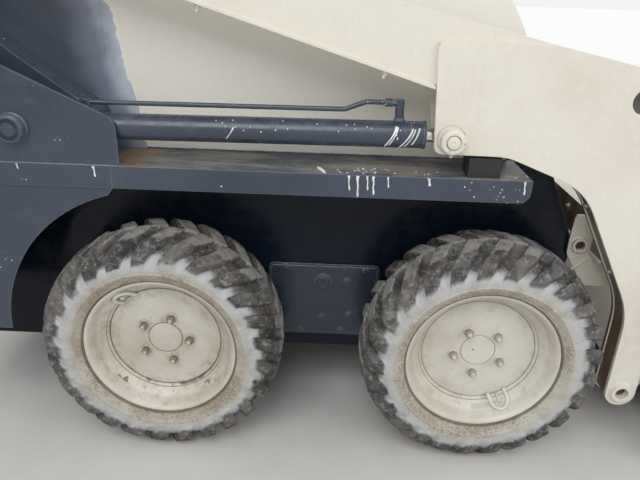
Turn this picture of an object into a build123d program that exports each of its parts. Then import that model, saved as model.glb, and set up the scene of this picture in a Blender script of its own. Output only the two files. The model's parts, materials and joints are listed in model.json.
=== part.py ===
from build123d import *
import os
from math import atan2, cos, degrees, hypot, pi, radians, sin

# Compact skid-steer loader, in millimetres.
# X runs forward, Y to the left and Z up. Every size below is measured from the rear axle in X,
# from the machine's middle plane in Y and from the ground in Z. The last lines shift the whole
# machine in X, so that its origin is the bottom centre of its bounding box.
# A pair of pieces is drawn once, on the left side, and mirrored for the right side.

os.makedirs("parts", exist_ok=True)

# Fits
RUN_GAP = 0.3
FACE_GAP = 0.5
SEAT_GAP = 0.3

# Wheels
WHEELBASE = 882.0
TYRE_R = 335.0
TYRE_W = 216.0
WHEEL_Y = 581.0
RIM_W = 178.0
FLANGE_R = 208.0
FLANGE_T = 6.0
BEAD_R = 190.0
WELL_R = 165.0
WELL_W = 92.0
WELL_SLOPE_W = 12.0
RIM_T = 5.0
DISC_INSET = 62.0
DISC_T = 8.0
HUB_FLANGE_R = 85.0
HUB_FLANGE_T = 15.0
AXLE_R = 30.0
AXLE_L = 130.0
HOUSING_R = 52.0
HOUSING_FLANGE_R = 95.0
HOUSING_FLANGE_T = 14.0

# Tyre tread
LUGS = 25
LUG_H = 23.0
LUG_FLANK = 0.06
LUG_NOSE_Y = 8.0
LUG_NOSE_LEAN = 18.0
LUG_SHOULDER_LEAN = 6.0
LUG_TURN = {"rear": 6.336, "front": 8.064}
SHOULDER_DROP = 13.0
SHOULDER_IN = 14.0
SHOULDER_BASE_IN = 24.0
BULGE_DROP = 73.0

AXLE_Z = TYRE_R
AXLES = {"rear": 0.0, "front": WHEELBASE}

# Chassis tub
HULL_Y = 430.0
HULL_T = 8.0
BELLY_Z = 215.0
DECK_Z = 835.0
TUB_REAR_X = -740.0
DECK_FRONT_X = WHEELBASE + 158.0
FLOOR_FRONT_X = WHEELBASE + 258.0
FLOOR_Z = 420.0
FLOOR_T = 6.0
BAY_X = -150.0
COVER_FROM_AXLE = 275.0
COVER_X = (COVER_FROM_AXLE, WHEELBASE - COVER_FROM_AXLE)
COVER_Z = (259.0, 502.0)
COVER_T = 6.0
COVER_CORNER_R = 18.0

# Fender shelf and tower
SHELF_T = 8.0
LIP_Y = 612.0
LIP_T = 8.0
LIP_BOTTOM_Z = 776.0
SHELF_FRONT_X = WHEELBASE + 67.0
LIP_CORNER_R = 28.0
TOWER_OUT_Y = (600.0, 608.0)
TOWER_IN_Y = (516.0, 524.0)
TOWER_REAR_X = -760.0
TOWER_BOTTOM_Z = 345.0
TOWER_REAR_T = 8.0
TOWER_REAR_TOP = 1330.0
TOWER_FOOT_X = -78.0
TOWER_LIP_X = -100.0
INNER_FOOT_X = -150.0
ARCH_R = 436.0
UPRIGHT_T = 8.0
REST_X = (WHEELBASE - 92.0, WHEELBASE - 12.0)
REST_Y = (526.0, 598.0)
REST_GAP = 6.0

# Boom
PIVOT = (-620.0, 1480.0)
PIVOT_PIN_R = 30.0
PIVOT_HUB_R = 55.0
PIVOT_CAP_R = 44.0
PIVOT_CAP_T = 14.0
TOWER_TOP_R = 74.0
ARM_Y = (532.0, 592.0)
CHEEK_BOTTOM_Z = 891.0
CHEEK_T = 12.0
ARM_TOP = ((589.0, 1237.0), (959.0, 1152.0))
ARM_BOTTOM = ((108.0, 1223.0), (692.0, 1045.0))
ARM_END_X = WHEELBASE + 204.0
ARM_FLANGE_X = (-300.0, WHEELBASE - 194.0)
ARM_FLANGE_T = 8.0
ARM_FLANGE_OUT = 10.0
BULKHEAD_T = 8.0
LEG_PLATE_INSET = 4.0
LEG_PLATE_T = 8.0
BULKHEAD_Z = (700.0, 1150.0)
BOOM_EYE = (WHEELBASE + 296.0, 1034.0)
BOOM_EYE_R = 30.0
TUBE_X = (WHEELBASE + 324.0, WHEELBASE + 400.0)
TUBE_Z = (580.0, 680.0)
TUBE_WALL = 8.0
BRACKET_Y = (445.0, 456.0)
BRACKET_EDGE = 36.0
BRACKET_TOE = 60.0
GUSSET_Y = (437.0, 445.0)
GUSSET_EYE = (WHEELBASE + 290.0, 600.0)
GUSSET_R = 30.0
GUSSET_BOSS_R = 22.0
GUSSET_BOSS_OUT = 10.0
GUSSET_BORE_R = 14.0
GUSSET_TOP = 690.0
GUSSET_FOOT = 470.0

# Lift cylinders
LIFT_BASE = (-330.0, 922.0)
LIFT_EYE = (WHEELBASE - 144.0, 930.0)
LIFT_R = 33.0
LIFT_BORE_R = 27.0
LIFT_ROD_R = 17.5
LIFT_ROD_SHOWS = 58.0
LIFT_BASE_WALL = 60.0
LIFT_GLAND = 25.0
LIFT_PISTON = 30.0
LIFT_BASE_EYE_R = 38.0
LIFT_ROD_EYE_R = 34.0
LIFT_PIN_R = 20.0
LIFT_EYE_W = 50.0
LIFT_BOSS_R = 28.0
LIFT_BOSS_OUT = 22.0
LIFT_PIN_OUT = 40.0
LIFT_PIN_END_R = 15.0
LIFT_BASE_BOSS_R = 30.0
LIFT_BASE_BOSS_OUT = 25.0
PIPE_R = 6.0
PIPE_BEND_R = 28.0
PIPE_POINTS = ((-160.0, 982.0), (479.0, 986.0), (530.0, 1006.0), (612.0, 1006.0))
PIPE_FOOT_R = 11.0
PIPE_NUT_R = 10.0
PIPE_NUT_L = 18.0

# Tilt cylinders
TILT_Y = 487.0
TILT_BASE = (WHEELBASE + 424.0, 900.0)
TILT_EYE_DX = 70.0
TILT_EYE_DZ = 97.0
TILT_R = 25.0
TILT_BORE_R = 20.0
TILT_ROD_R = 14.0
TILT_ROD_SHOWS = 110.0
TILT_BASE_WALL = 45.0
TILT_RETRACT = 48.0
TILT_GLAND = 22.0
TILT_PISTON = 22.0
TILT_EYE_R = 28.0
TILT_PIN_R = 16.0
TILT_EYE_W = 32.0

# Coupler and bucket
HINGE = (WHEELBASE + 430.0, 208.0)
HINGE_BOSS_R = 29.0
HINGE_BORE_R = 18.0
HINGE_BOSS_OUT = 8.0
HINGE_PIN_RECESS = 14.0
LEG_W = 84.0
EAR_T = 10.0
EAR_GAP = 4.0
COUPLER_T = 12.0
COUPLER_Y = 515.0
COUPLER_TOP = 250.0
COUPLER_BOTTOM = -55.0
COUPLER_BAR_R = 24.0
# Rows of x, z and corner radius, from the bucket's hinge
EAR_BACK = ((-40, -4, 12), (-26, 34, 20))
EAR_TOP = ((TILT_EYE_DX - 30, TILT_EYE_DZ + 20, 18), (TILT_EYE_DX + 4, TILT_EYE_DZ + 34, 12))
EAR_Z = (-50.0, 122.0)
EAR_TOE = (16, -44, 12)
TOE_BACK = ((-52, 2), (-48, 10))
TOE_Z = (-62.0, -46.0)
TOE_FRONT_X = 70.0
BUCKET_W = 1400.0
BUCKET_LIP = 750.0
BUCKET_FLOOR = -200.0
BUCKET_TOP = 300.0
BUCKET_HEEL_X = 345.0
BUCKET_HEEL_R = 200.0
BUCKET_LEAN = 26.565
BUCKET_T = 10.0
SIDE_CUT = (60.0, 90.0)
SIDE_TOP_L = 110.0
THROAT_Z = 150.0
MOUTH_PAST = 50.0
BUCKET_SIDE_T = 12.0
EDGE_T = 16.0
EDGE_L = 110.0
EDGE_BEVEL = 1.6

# Cab
CAB_REAR_X = -150.0
CAB_SIDE_T = 30.0
ROOF_H = 42.0
ROOF_BASE = 1890.0
ROOF_Z = (ROOF_BASE, ROOF_BASE + ROOF_H)
ROOF_T = 6.0
SILL_Z = 1165.0
SIDE_KNEE = (WHEELBASE - 47.0, 1325.0)
CAB_FRONT_X = WHEELBASE + 48.0
ROOF_FRONT_X = WHEELBASE - 82.0
SCREEN_Z = (1290.0, 1840.0)
SCREEN_X = (-70.0, ROOF_FRONT_X - 110.0)
SCREEN_T = 8.0
SCREEN_BAR = 12.0
SCREEN_COLS = 10
SCREEN_ROWS = 4
REAR_WALL_T = 30.0
WINDOW_Y = 300.0
WINDOW_Z = (1330.0, 1800.0)
GLASS_T = 6.0

# Seat and controls
SEAT_X = (40.0, 500.0)
SEAT_Y = 235.0
SEAT_BASE_TOP = 720.0
BACK_LEAN = 50.0
BACK_FOOT_X = -40.0
BACK_KNEE = 120.0
CUSHION_T = 90.0
BACK_FRONT_X = 40.0
BACK_TOP_T = 90.0
BACK_CORNER_R = 20.0
BACK_TOP = 1290.0
LEVER_X = 640.0
LEVER_Y = 375.0
LEVER_TOP = 1030.0
LEVER_FOOT = 715.0
LEVER_R = 13.0
GRIP_R = 22.0
GRIP_L = 110.0
GRIP_LAP = 10.0
CONSOLE_T = 70.0
CONSOLE_X = (530.0, 710.0)
CONSOLE_Z = (675.0, 735.0)
BAR_PIVOT = (70.0, 1240.0)
BAR_R = 16.0
BAR_Y = 340.0
BAR_FRONT = (500.0, 1020.0)
BAR_BOSS_R = 26.0
BAR_BEND = (60.0, 40.0)
BAR_BEND_R = 35.0

# Engine bay
ENGINE_X = (-660.0, -230.0)
ENGINE_Y = 210.0
ENGINE_TOP = 860.0
DOOR_Y = 418.0
DOOR_X = (-760.0, -730.0)
DOOR_Z = (345.0, 1056.0)
DOOR_T = 6.0
DOOR_CLEAR = 5.0
LOUVRES = 11
LOUVRE_Y = 300.0
LOUVRE_H = 26.0
LOUVRE_EDGE = 110.0
KNUCKLE_R = 8.0
KNUCKLE_H = 60.0
KNUCKLE_Y = 431.0
LEAF_T = 4.0
LEAF_W = 60.0
DOOR_HINGE_Z = (480.0, 960.0)
HOOD_HINGE = (-163.0, 1250.0)
HOOD_HINGE_Y = (-300.0, 240.0)
HOOD_KNUCKLE_R = 7.0
HOOD_FRONT = (-172.0, 1250.0)
HOOD_REAR = (-735.0, 1190.0)
HOOD_T = 6.0
HOOD_SKIRT = 40.0
HOOD_Y = 414.0
HOOD_LEAF_L = 30.0
CHEEK_TOP = 1300.0
CHEEK_TOP_X = -480.0
CHEEK_REAR_TOP = 1200.0
CHEEK_CORNER_R = 40.0
BAR_REAR_X = (-745.0, -700.0)
BAR_REAR_Z = (1060.0, 1140.0)
EXHAUST_R = 28.0
EXHAUST_WALL = 3.0
EXHAUST_Y = -300.0
EXHAUST_IN_X = -600.0
EXHAUST_OUT = 20.0
LAMP_R = 52.0
LAMP_BACK_R = 34.0
LAMP_T = 60.0
LAMP_RING_T = 14.0
LAMP_RING_OUT = 5.0
LAMP_DOME = 6.0
LAMP_Y = 330.0
LAMP_DROP = 12.0

nodes = {}


def side_plate(face, y_low, y_high):
    """Extrudes a face drawn in X and Z between two Y planes."""
    return extrude(Plane.XZ.offset(-y_high) * face, y_high - y_low, dir=(0, -1, 0))


def outline(rows):
    """A closed face from rows of x, z and corner radius."""
    face = Polygon(*[(x, z) for x, z, radius in rows], align=None)
    for x, z, radius in rows:
        if radius:
            corner = face.vertices().sort_by_distance((x, z, 0))[0]
            face = fillet(corner, radius)
    return face


def block(x, y, z):
    """A box from its low and high X, Y and Z."""
    size = (x[1] - x[0], y[1] - y[0], z[1] - z[0])
    middle = ((x[0] + x[1]) / 2, (y[0] + y[1]) / 2, (z[0] + z[1]) / 2)
    return Pos(*middle) * Box(*size)


def pin(radius, centre, y_low, y_high):
    """A round bar along Y at a centre given in X and Z."""
    return side_plate(Pos(*centre) * Circle(radius), y_low, y_high)


def bar(radius, x_low, x_high, y=0.0, z=0.0):
    """A round bar along X."""
    return Pos(x_low, y, z) * extrude(Plane.YZ * Circle(radius), x_high - x_low)


def post(radius, centre, z_low, z_high):
    """A round bar along Z at a centre given in X and Y."""
    return Pos(centre[0], centre[1], z_low) * extrude(Circle(radius), z_high - z_low)


def slope_z(line, x):
    """The height at x of a line through two X, Z points."""
    (x0, z0), (x1, z1) = line
    return z0 + (z1 - z0) * (x - x0) / (x1 - x0)


def keep(name, shape):
    nodes[name] = shape


def both_sides(shape):
    """A left piece and its mirror image in one shape."""
    return shape + mirror(shape, about=Plane.XZ)


def keep_pair(name, shape):
    """Keeps a left piece and its mirror image."""
    nodes[name + "_l"] = shape
    nodes[name + "_r"] = mirror(shape, about=Plane.XZ)


# Wheels: each is a tyre and a rim, whose hub shaft turns in a housing on the chassis

def wheel_point(y, radius, angle):
    return (radius * cos(radians(angle)), y, radius * sin(radians(angle)))


def flat_faces(*corners):
    """Triangles over a four-cornered patch, or one triangle."""
    if len(corners) == 3:
        return [Face(Wire.make_polygon(corners, close=True))]
    first, second, third, fourth = corners
    return flat_faces(first, second, third) + flat_faces(first, third, fourth)


def tyre(turn):
    """A ring of rubber with slanted lugs, half a pitch apart on its two halves."""
    pitch = 360 / LUGS
    half = TYRE_W / 2
    crown_r = TYRE_R - LUG_H
    shoulder_r = TYRE_R - SHOULDER_DROP
    bead_y = RIM_W / 2 - FLANGE_T - SEAT_GAP
    bead_r = (BEAD_R + SEAT_GAP) / cos(radians(pitch / 4))
    # Y, radius and lean of the carcass and of a lug's top, from the nose to the lug's end
    base = (
        (LUG_NOSE_Y, crown_r, LUG_NOSE_LEAN),
        (half - SHOULDER_BASE_IN, shoulder_r - LUG_H, LUG_SHOULDER_LEAN), (half, TYRE_R - BULGE_DROP, 0),
    )
    top = ((LUG_NOSE_Y, TYRE_R, LUG_NOSE_LEAN), (half - SHOULDER_IN, shoulder_r, LUG_SHOULDER_LEAN))
    bead = ((bead_y, FLANGE_R + FLANGE_T, 0), (bead_y, bead_r, 0))
    faces = []
    for lug in range(LUGS):
        for side, shift in ((1, 0.0), (-1, 0.5)):

            def corner(row, phase):
                y, radius, lean = row
                return wheel_point(side * y, radius, turn + (lug + shift + phase) * pitch - lean)

            foot = [[corner(row, phase) for row in base + bead] for phase in (0, 0.5, 1)]
            crest = [[corner(row, phase) for row in top] for phase in (LUG_FLANK, 0.5 - LUG_FLANK)]
            rear, front, following = foot
            low, high = crest
            faces += flat_faces(rear[0], front[0], high[0], low[0])
            faces += flat_faces(low[0], high[0], high[1], low[1])
            faces += flat_faces(low[1], high[1], front[2], rear[2])
            faces += flat_faces(rear[0], low[0], low[1], rear[1])
            faces += flat_faces(rear[1], low[1], rear[2])
            faces += flat_faces(high[0], front[0], front[1], high[1])
            faces += flat_faces(high[1], front[1], front[2])
            for first in (0, 1):
                faces += flat_faces(front[first], following[first], following[first + 1], front[first + 1])
            for first in (2, 3):
                faces += flat_faces(rear[first], front[first], front[first + 1], rear[first + 1])
                faces += flat_faces(front[first], following[first], following[first + 1], front[first + 1])
            for phase in (0, 0.5):
                if side > 0:
                    across = [corner(row, at) for row in (base[0], bead[1]) for at in (phase, phase + 0.5)]
                    other = [(x, -y, z) for x, y, z in across]
                    faces += flat_faces(across[0], across[1], other[1], other[0])
                    faces += flat_faces(across[2], across[3], other[3], other[2])
    return Solid(Shell(faces))


def rim():
    half = RIM_W / 2
    seat = half - FLANGE_T
    well = WELL_W / 2 - WELL_SLOPE_W
    barrel = Polygon(
        (half, FLANGE_R), (seat, FLANGE_R), (seat, BEAD_R), (WELL_W / 2, BEAD_R),
        (well, WELL_R), (-well, WELL_R), (-WELL_W / 2, BEAD_R), (-seat, BEAD_R),
        (-seat, FLANGE_R), (-half, FLANGE_R), (-half, BEAD_R - RIM_T),
        (-WELL_W / 2, BEAD_R - RIM_T), (-well, WELL_R - RIM_T), (well, WELL_R - RIM_T),
        (WELL_W / 2, BEAD_R - RIM_T), (half, BEAD_R - RIM_T), align=None,
    )
    disc_out = half - DISC_INSET
    disc_in = disc_out - DISC_T
    flange_in = disc_in - HUB_FLANGE_T
    shape = revolve(Plane.YZ * barrel, Axis.Y, 360)
    shape += pin(WELL_R - RIM_T / 2, (0, 0), disc_in, disc_out)
    shape += pin(HUB_FLANGE_R, (0, 0), flange_in, disc_in)
    return shape + pin(AXLE_R, (0, 0), flange_in - AXLE_L, flange_in)


hub_in_y = WHEEL_Y + RIM_W / 2 - DISC_INSET - DISC_T - HUB_FLANGE_T
for name, x in AXLES.items():
    keep_pair("tyre_" + name, Pos(x, WHEEL_Y, AXLE_Z) * tyre(LUG_TURN[name]))
    keep_pair("rim_" + name, Pos(x, WHEEL_Y, AXLE_Z) * rim())


# Chassis: tub, chain case covers and axle housings

# Rows of x, z and corner radius
TUB_ROWS = (
    (TUB_REAR_X, BELLY_Z, 40), (WHEELBASE + 98, BELLY_Z, 60), (WHEELBASE + 268, 520, 0),
    (WHEELBASE + 276, 598, 0), (WHEELBASE + 178, 810, 0), (DECK_FRONT_X, DECK_Z, 0),
    (TUB_REAR_X, DECK_Z, 0),
)


def lower_frame():
    face = outline(TUB_ROWS)
    shell = side_plate(face, -HULL_Y, HULL_Y)
    inner = HULL_Y - HULL_T
    shape = shell - side_plate(offset(face, -HULL_T), -inner, inner)
    mouth = (TUB_REAR_X + HULL_T, DECK_FRONT_X - HULL_T)
    shape -= block(mouth, (-inner, inner), (DECK_Z - 2 * HULL_T, DECK_Z + HULL_T))
    floor = block((BAY_X, FLOOR_FRONT_X), (-inner, inner), (FLOOR_Z - FLOOR_T, FLOOR_Z))
    wall = block((BAY_X, BAY_X + FLOOR_T), (-inner, inner), (BELLY_Z, DECK_Z))
    door_way = block(
        (TUB_REAR_X - 1, TUB_REAR_X + HULL_T), (-inner, inner), (DOOR_Z[0] - DOOR_CLEAR, DECK_Z + 1))
    return shape + (floor & shell) + (wall & shell) - door_way


def chaincase_covers():
    face = Pos(sum(COVER_X) / 2, sum(COVER_Z) / 2) * RectangleRounded(
        COVER_X[1] - COVER_X[0], COVER_Z[1] - COVER_Z[0], COVER_CORNER_R)
    return both_sides(side_plate(face, HULL_Y, HULL_Y + COVER_T))


def axle_housings():
    end_y = hub_in_y - FACE_GAP
    bore_y = hub_in_y - AXLE_L - FACE_GAP
    shape = Part()
    for x in AXLES.values():
        centre = (x, AXLE_Z)
        housing = pin(HOUSING_FLANGE_R, centre, HULL_Y, HULL_Y + HOUSING_FLANGE_T)
        housing += pin(HOUSING_R, centre, HULL_Y, end_y)
        shape += housing - pin(AXLE_R + RUN_GAP, centre, bore_y, end_y + FACE_GAP)
    return both_sides(shape)


keep("lower_frame", lower_frame())
keep("chaincase_covers", chaincase_covers())
keep("axle_housings", axle_housings())


# Fender and tower on each side: a shelf, two upright plates and the boom and cylinder pins

TOWER_TOP = PIVOT[1] + TOWER_TOP_R
TOWER_CROWN = (
    (PIVOT[0] + TOWER_TOP_R, TOWER_TOP, TOWER_TOP_R - 1),
    (PIVOT[0] - TOWER_TOP_R, TOWER_TOP, TOWER_TOP_R - 1),
    (TOWER_REAR_X, TOWER_REAR_TOP, 60),
)
# Rows of x, z and corner radius
TOWER_ROWS = (
    (TOWER_FOOT_X, DECK_Z, 0), (TOWER_FOOT_X, 950, 40), (-334, 1069, 60), (-475, 1190, 120),
    *TOWER_CROWN, (TOWER_REAR_X, TOWER_BOTTOM_Z, 0), (-430, TOWER_BOTTOM_Z, 0),
    (TOWER_LIP_X, LIP_BOTTOM_Z, 0), (TOWER_LIP_X, DECK_Z, 0),
)
INNER_ROWS = (
    (INNER_FOOT_X, DECK_Z, 0), (INNER_FOOT_X, 947, 40), (-334, 1079, 60), (-475, 1190, 120),
    *TOWER_CROWN, (TOWER_REAR_X, DECK_Z, 0),
)
# Pin radius, and the radius and depth of the cap outside the tower
TOWER_PINS = {
    PIVOT: (PIVOT_PIN_R, PIVOT_CAP_R, PIVOT_CAP_T),
    LIFT_BASE: (LIFT_PIN_R, LIFT_BASE_BOSS_R, LIFT_BASE_BOSS_OUT),
}


def fender():
    """The shelf over the wheels and the lip along its outer edge."""
    shelf_z = (DECK_Z - SHELF_T, DECK_Z)
    shape = block((TOWER_REAR_X, SHELF_FRONT_X), (HULL_Y, TOWER_OUT_Y[0]), shelf_z)
    lip = outline((
        (TOWER_LIP_X, LIP_BOTTOM_Z, 0), (SHELF_FRONT_X, LIP_BOTTOM_Z, LIP_CORNER_R),
        (SHELF_FRONT_X, DECK_Z, 0), (TOWER_LIP_X, DECK_Z, 0),
    ))
    shape += side_plate(lip, LIP_Y - LIP_T, LIP_Y)
    return shape + block((TOWER_LIP_X, SHELF_FRONT_X), (TOWER_OUT_Y[0], LIP_Y - LIP_T), shelf_z)


def tower_outer():
    """The outer plate with the rear wheel's arch, and the rear wall."""
    arch = pin(ARCH_R, (0, AXLE_Z), HULL_Y, LIP_Y)
    shape = side_plate(outline(TOWER_ROWS), *TOWER_OUT_Y) - arch
    shape += block(
        (TOWER_REAR_X, TOWER_REAR_X + TOWER_REAR_T), (TOWER_IN_Y[1], TOWER_OUT_Y[1]),
        (DECK_Z, TOWER_REAR_TOP))
    shape += block(
        (TOWER_REAR_X, TOWER_REAR_X + TOWER_REAR_T), (HULL_Y, TOWER_OUT_Y[1]),
        (TOWER_BOTTOM_Z, DECK_Z - SHELF_T))
    for centre in (PIVOT, LIFT_BASE):
        shape -= pin(TOWER_PINS[centre][0], centre, *TOWER_OUT_Y)
    return shape


def tower_inner():
    """The inner plate and the wall that closes it against the hull."""
    face = outline(INNER_ROWS)
    shape = side_plate(face, *TOWER_IN_Y)
    band = offset(face, -1) - offset(face, -1 - UPRIGHT_T)
    return shape + side_plate(band, HULL_Y, TOWER_IN_Y[0])


def tower_pins():
    shape = Part()
    for centre, (radius, cap_r, cap_t) in TOWER_PINS.items():
        shape += pin(radius, centre, TOWER_IN_Y[1], TOWER_OUT_Y[1])
        shape += pin(cap_r, centre, TOWER_OUT_Y[1], TOWER_OUT_Y[1] + cap_t)
    return both_sides(shape)


def boom_rests():
    """Rubber blocks on the shelves, just under the lowered boom."""
    return both_sides(block(REST_X, REST_Y, (DECK_Z, CHEEK_BOTTOM_Z - REST_GAP)))


def tower_knuckles():
    """The fixed halves of the rear door's hinges, on the left tower."""
    shape = Part()
    axis = (TOWER_REAR_X - KNUCKLE_R, KNUCKLE_Y)
    for z in DOOR_HINGE_Z:
        for low, high in ((z - KNUCKLE_H, z - FACE_GAP), (z + KNUCKLE_H + FACE_GAP, z + 2 * KNUCKLE_H)):
            leaf = block((TOWER_REAR_X - LEAF_T, TOWER_REAR_X), (KNUCKLE_Y, KNUCKLE_Y + LEAF_W), (low, high))
            shape += leaf + post(KNUCKLE_R, axis, low, high)
    return shape


keep_pair("fender", fender())
keep_pair("tower_outer", tower_outer())
keep_pair("tower_inner", tower_inner())
keep("tower_pins", tower_pins())
keep("door_knuckles", tower_knuckles())
keep("boom_rests", boom_rests())


# Boom: on each side an arm, a leg and the leg's outer cheek plate, joined by a cross tube

def cheek_face():
    half = LEG_W / 2
    foot = HINGE[1] - half - 2
    back, front = HINGE[0] - half, HINGE[0] + half
    knee = WHEELBASE
    return outline((
        (knee - 199, 1160, 25), (knee + 73, 1153, 0), (knee + 358, 1093, 110), (front, 870, 250),
        (front, foot, half - 1), (back, foot, half - 1), (back, 470, 250),
        (knee + 203, 812, 180), (knee - 2, CHEEK_BOTTOM_Z, 150), (knee - 182, CHEEK_BOTTOM_Z + 2, 20),
    ))


def arm_face():
    low_x, high_x = PIVOT[0], ARM_END_X
    return Polygon(
        (low_x, slope_z(ARM_BOTTOM, low_x)), (high_x, slope_z(ARM_BOTTOM, high_x)),
        (high_x, slope_z(ARM_TOP, high_x)), (low_x, slope_z(ARM_TOP, low_x)), align=None)


def arm_flange_face():
    low, high = ARM_FLANGE_X
    return Polygon(
        (low, slope_z(ARM_BOTTOM, low)), (high, slope_z(ARM_BOTTOM, high)),
        (high, slope_z(ARM_BOTTOM, high) + ARM_FLANGE_T),
        (low, slope_z(ARM_BOTTOM, low) + ARM_FLANGE_T), align=None,
    )


def boom_arm():
    """The box arm with its lower flange and the hub round the pivot pin."""
    shape = side_plate(arm_face(), *ARM_Y)
    shape += side_plate(arm_flange_face(), ARM_Y[0] - ARM_FLANGE_OUT, ARM_Y[1] + ARM_FLANGE_OUT)
    hub_in = TOWER_IN_Y[1] + FACE_GAP
    hub_out = TOWER_OUT_Y[0] - FACE_GAP
    shape += pin(PIVOT_HUB_R, PIVOT, hub_in, hub_out)
    return shape - pin(PIVOT_PIN_R + RUN_GAP, PIVOT, hub_in, hub_out)


def boom_leg():
    """The inner cheek plate, the closing plates round the leg and half of the cylinder's pin."""
    arm_in, arm_out = ARM_Y
    cheek = cheek_face()
    shape = side_plate(cheek, arm_in - CHEEK_T, arm_in)
    band = offset(cheek, -LEG_PLATE_INSET) - offset(cheek, -LEG_PLATE_INSET - LEG_PLATE_T)
    band = side_plate(band, arm_in, arm_out)
    low_z, high_z = BULKHEAD_Z
    shape += band - block((LIFT_EYE[0] - 2 * LEG_W, ARM_END_X), (arm_in, arm_out), (low_z, high_z + LEG_W))
    bulkhead = block((ARM_END_X, ARM_END_X + BULKHEAD_T), (arm_in, arm_out), BULKHEAD_Z)
    shape += bulkhead & side_plate(offset(cheek, -LEG_PLATE_INSET), arm_in, arm_out)
    eye_in = (arm_in + arm_out) / 2 - LIFT_EYE_W / 2 - FACE_GAP
    shape += pin(LIFT_PIN_R, LIFT_EYE, arm_in, eye_in)
    shape += pin(HINGE_BOSS_R, HINGE, arm_in, arm_out)
    return shape - pin(HINGE_BORE_R, HINGE, arm_in - CHEEK_T, arm_out)


def boom_cheek():
    """The outer cheek plate with the bosses and pin ends that show on it."""
    face_y = ARM_Y[1] + CHEEK_T
    shape = side_plate(cheek_face(), ARM_Y[1], face_y)
    eye_out = (ARM_Y[0] + ARM_Y[1]) / 2 + LIFT_EYE_W / 2 + FACE_GAP
    shape += pin(LIFT_PIN_R, LIFT_EYE, eye_out, ARM_Y[1])
    shape += pin(LIFT_BOSS_R, LIFT_EYE, face_y, face_y + LIFT_BOSS_OUT)
    shape += pin(LIFT_PIN_END_R, LIFT_EYE, face_y, face_y + LIFT_PIN_OUT)
    shape += pin(HINGE_BOSS_R, HINGE, face_y, face_y + HINGE_BOSS_OUT)
    shape -= pin(HINGE_BORE_R, HINGE, ARM_Y[1], face_y + HINGE_BOSS_OUT)
    return shape - pin(BOOM_EYE_R, BOOM_EYE, ARM_Y[1], face_y)


def boom_cross_tube():
    end = ARM_Y[0] - CHEEK_T
    shape = block(TUBE_X, (-end, end), TUBE_Z)
    hollow_x = (TUBE_X[0] + TUBE_WALL, TUBE_X[1] - TUBE_WALL)
    hollow_z = (TUBE_Z[0] + TUBE_WALL, TUBE_Z[1] - TUBE_WALL)
    shape -= block(hollow_x, (-end, end), hollow_z)
    base_x, base_z = TILT_BASE
    bracket = side_plate(outline((
        (TUBE_X[0], TUBE_Z[1] - TUBE_WALL, 0), (TUBE_X[1], TUBE_Z[1] - TUBE_WALL, 0),
        (base_x + BRACKET_EDGE, base_z - BRACKET_EDGE, 20),
        (base_x + BRACKET_EDGE, base_z + BRACKET_EDGE, BRACKET_EDGE - 1),
        (base_x - BRACKET_EDGE, base_z + BRACKET_EDGE, BRACKET_EDGE - 1),
        (TUBE_X[0], TUBE_Z[1] + BRACKET_TOE, 30),
    )), *BRACKET_Y)
    bracket += pin(TILT_PIN_R, TILT_BASE, BRACKET_Y[0], end)
    eye_x, eye_z = GUSSET_EYE
    gusset = side_plate(outline((
        (eye_x - GUSSET_R, eye_z - GUSSET_R, GUSSET_R - 1), (TUBE_X[0], GUSSET_FOOT, 10),
        (TUBE_X[1], GUSSET_FOOT, 10), (TUBE_X[1], GUSSET_TOP, 0),
        (eye_x - GUSSET_R + 4, GUSSET_TOP, 12), (eye_x - GUSSET_R, eye_z + GUSSET_R, 0),
    )), *GUSSET_Y)
    gusset += pin(GUSSET_BOSS_R, GUSSET_EYE, GUSSET_Y[1], GUSSET_Y[1] + GUSSET_BOSS_OUT)
    bracket += gusset - pin(GUSSET_BORE_R, GUSSET_EYE, GUSSET_Y[0], GUSSET_Y[1] + GUSSET_BOSS_OUT)
    return shape + both_sides(bracket)


keep_pair("boom_arm", boom_arm())
keep_pair("boom_leg", boom_leg())
keep_pair("boom_cheek", boom_cheek())
keep("boom_cross_tube", boom_cross_tube())


# Cylinders: drawn along X from the base pin, then turned to their lines

def placed(shape, base, eye, y):
    angle = degrees(atan2(eye[1] - base[1], eye[0] - base[0]))
    return Pos(base[0], y, base[1]) * Rot(0, -angle, 0) * shape


def cylinder_barrel(radius, bore, rod, length, base_wall, gland, eye_r, pin_r, eye_w):
    shape = bar(radius, 0, length) + pin(eye_r, (0, 0), -eye_w / 2, eye_w / 2)
    keep_out = max(radius, eye_w / 2)
    for side in (-1, 1):
        cheek = (side * eye_w / 2, side * keep_out)
        if keep_out > eye_w / 2:
            shape -= block((-eye_r, eye_r), (min(cheek), max(cheek)), (-eye_r, eye_r))
    shape -= pin(pin_r + RUN_GAP, (0, 0), -keep_out, keep_out)
    shape -= bar(bore, base_wall, length - gland)
    return shape - bar(rod + RUN_GAP, length - gland, length)


def cylinder_rod(bore, rod, base_wall, piston, eye_x, eye_r, eye_w):
    start = base_wall + FACE_GAP
    shape = bar(bore - RUN_GAP, start, start + piston) + bar(rod, start, eye_x)
    return shape + pin(eye_r, (eye_x, 0), -eye_w / 2, eye_w / 2)


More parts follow.
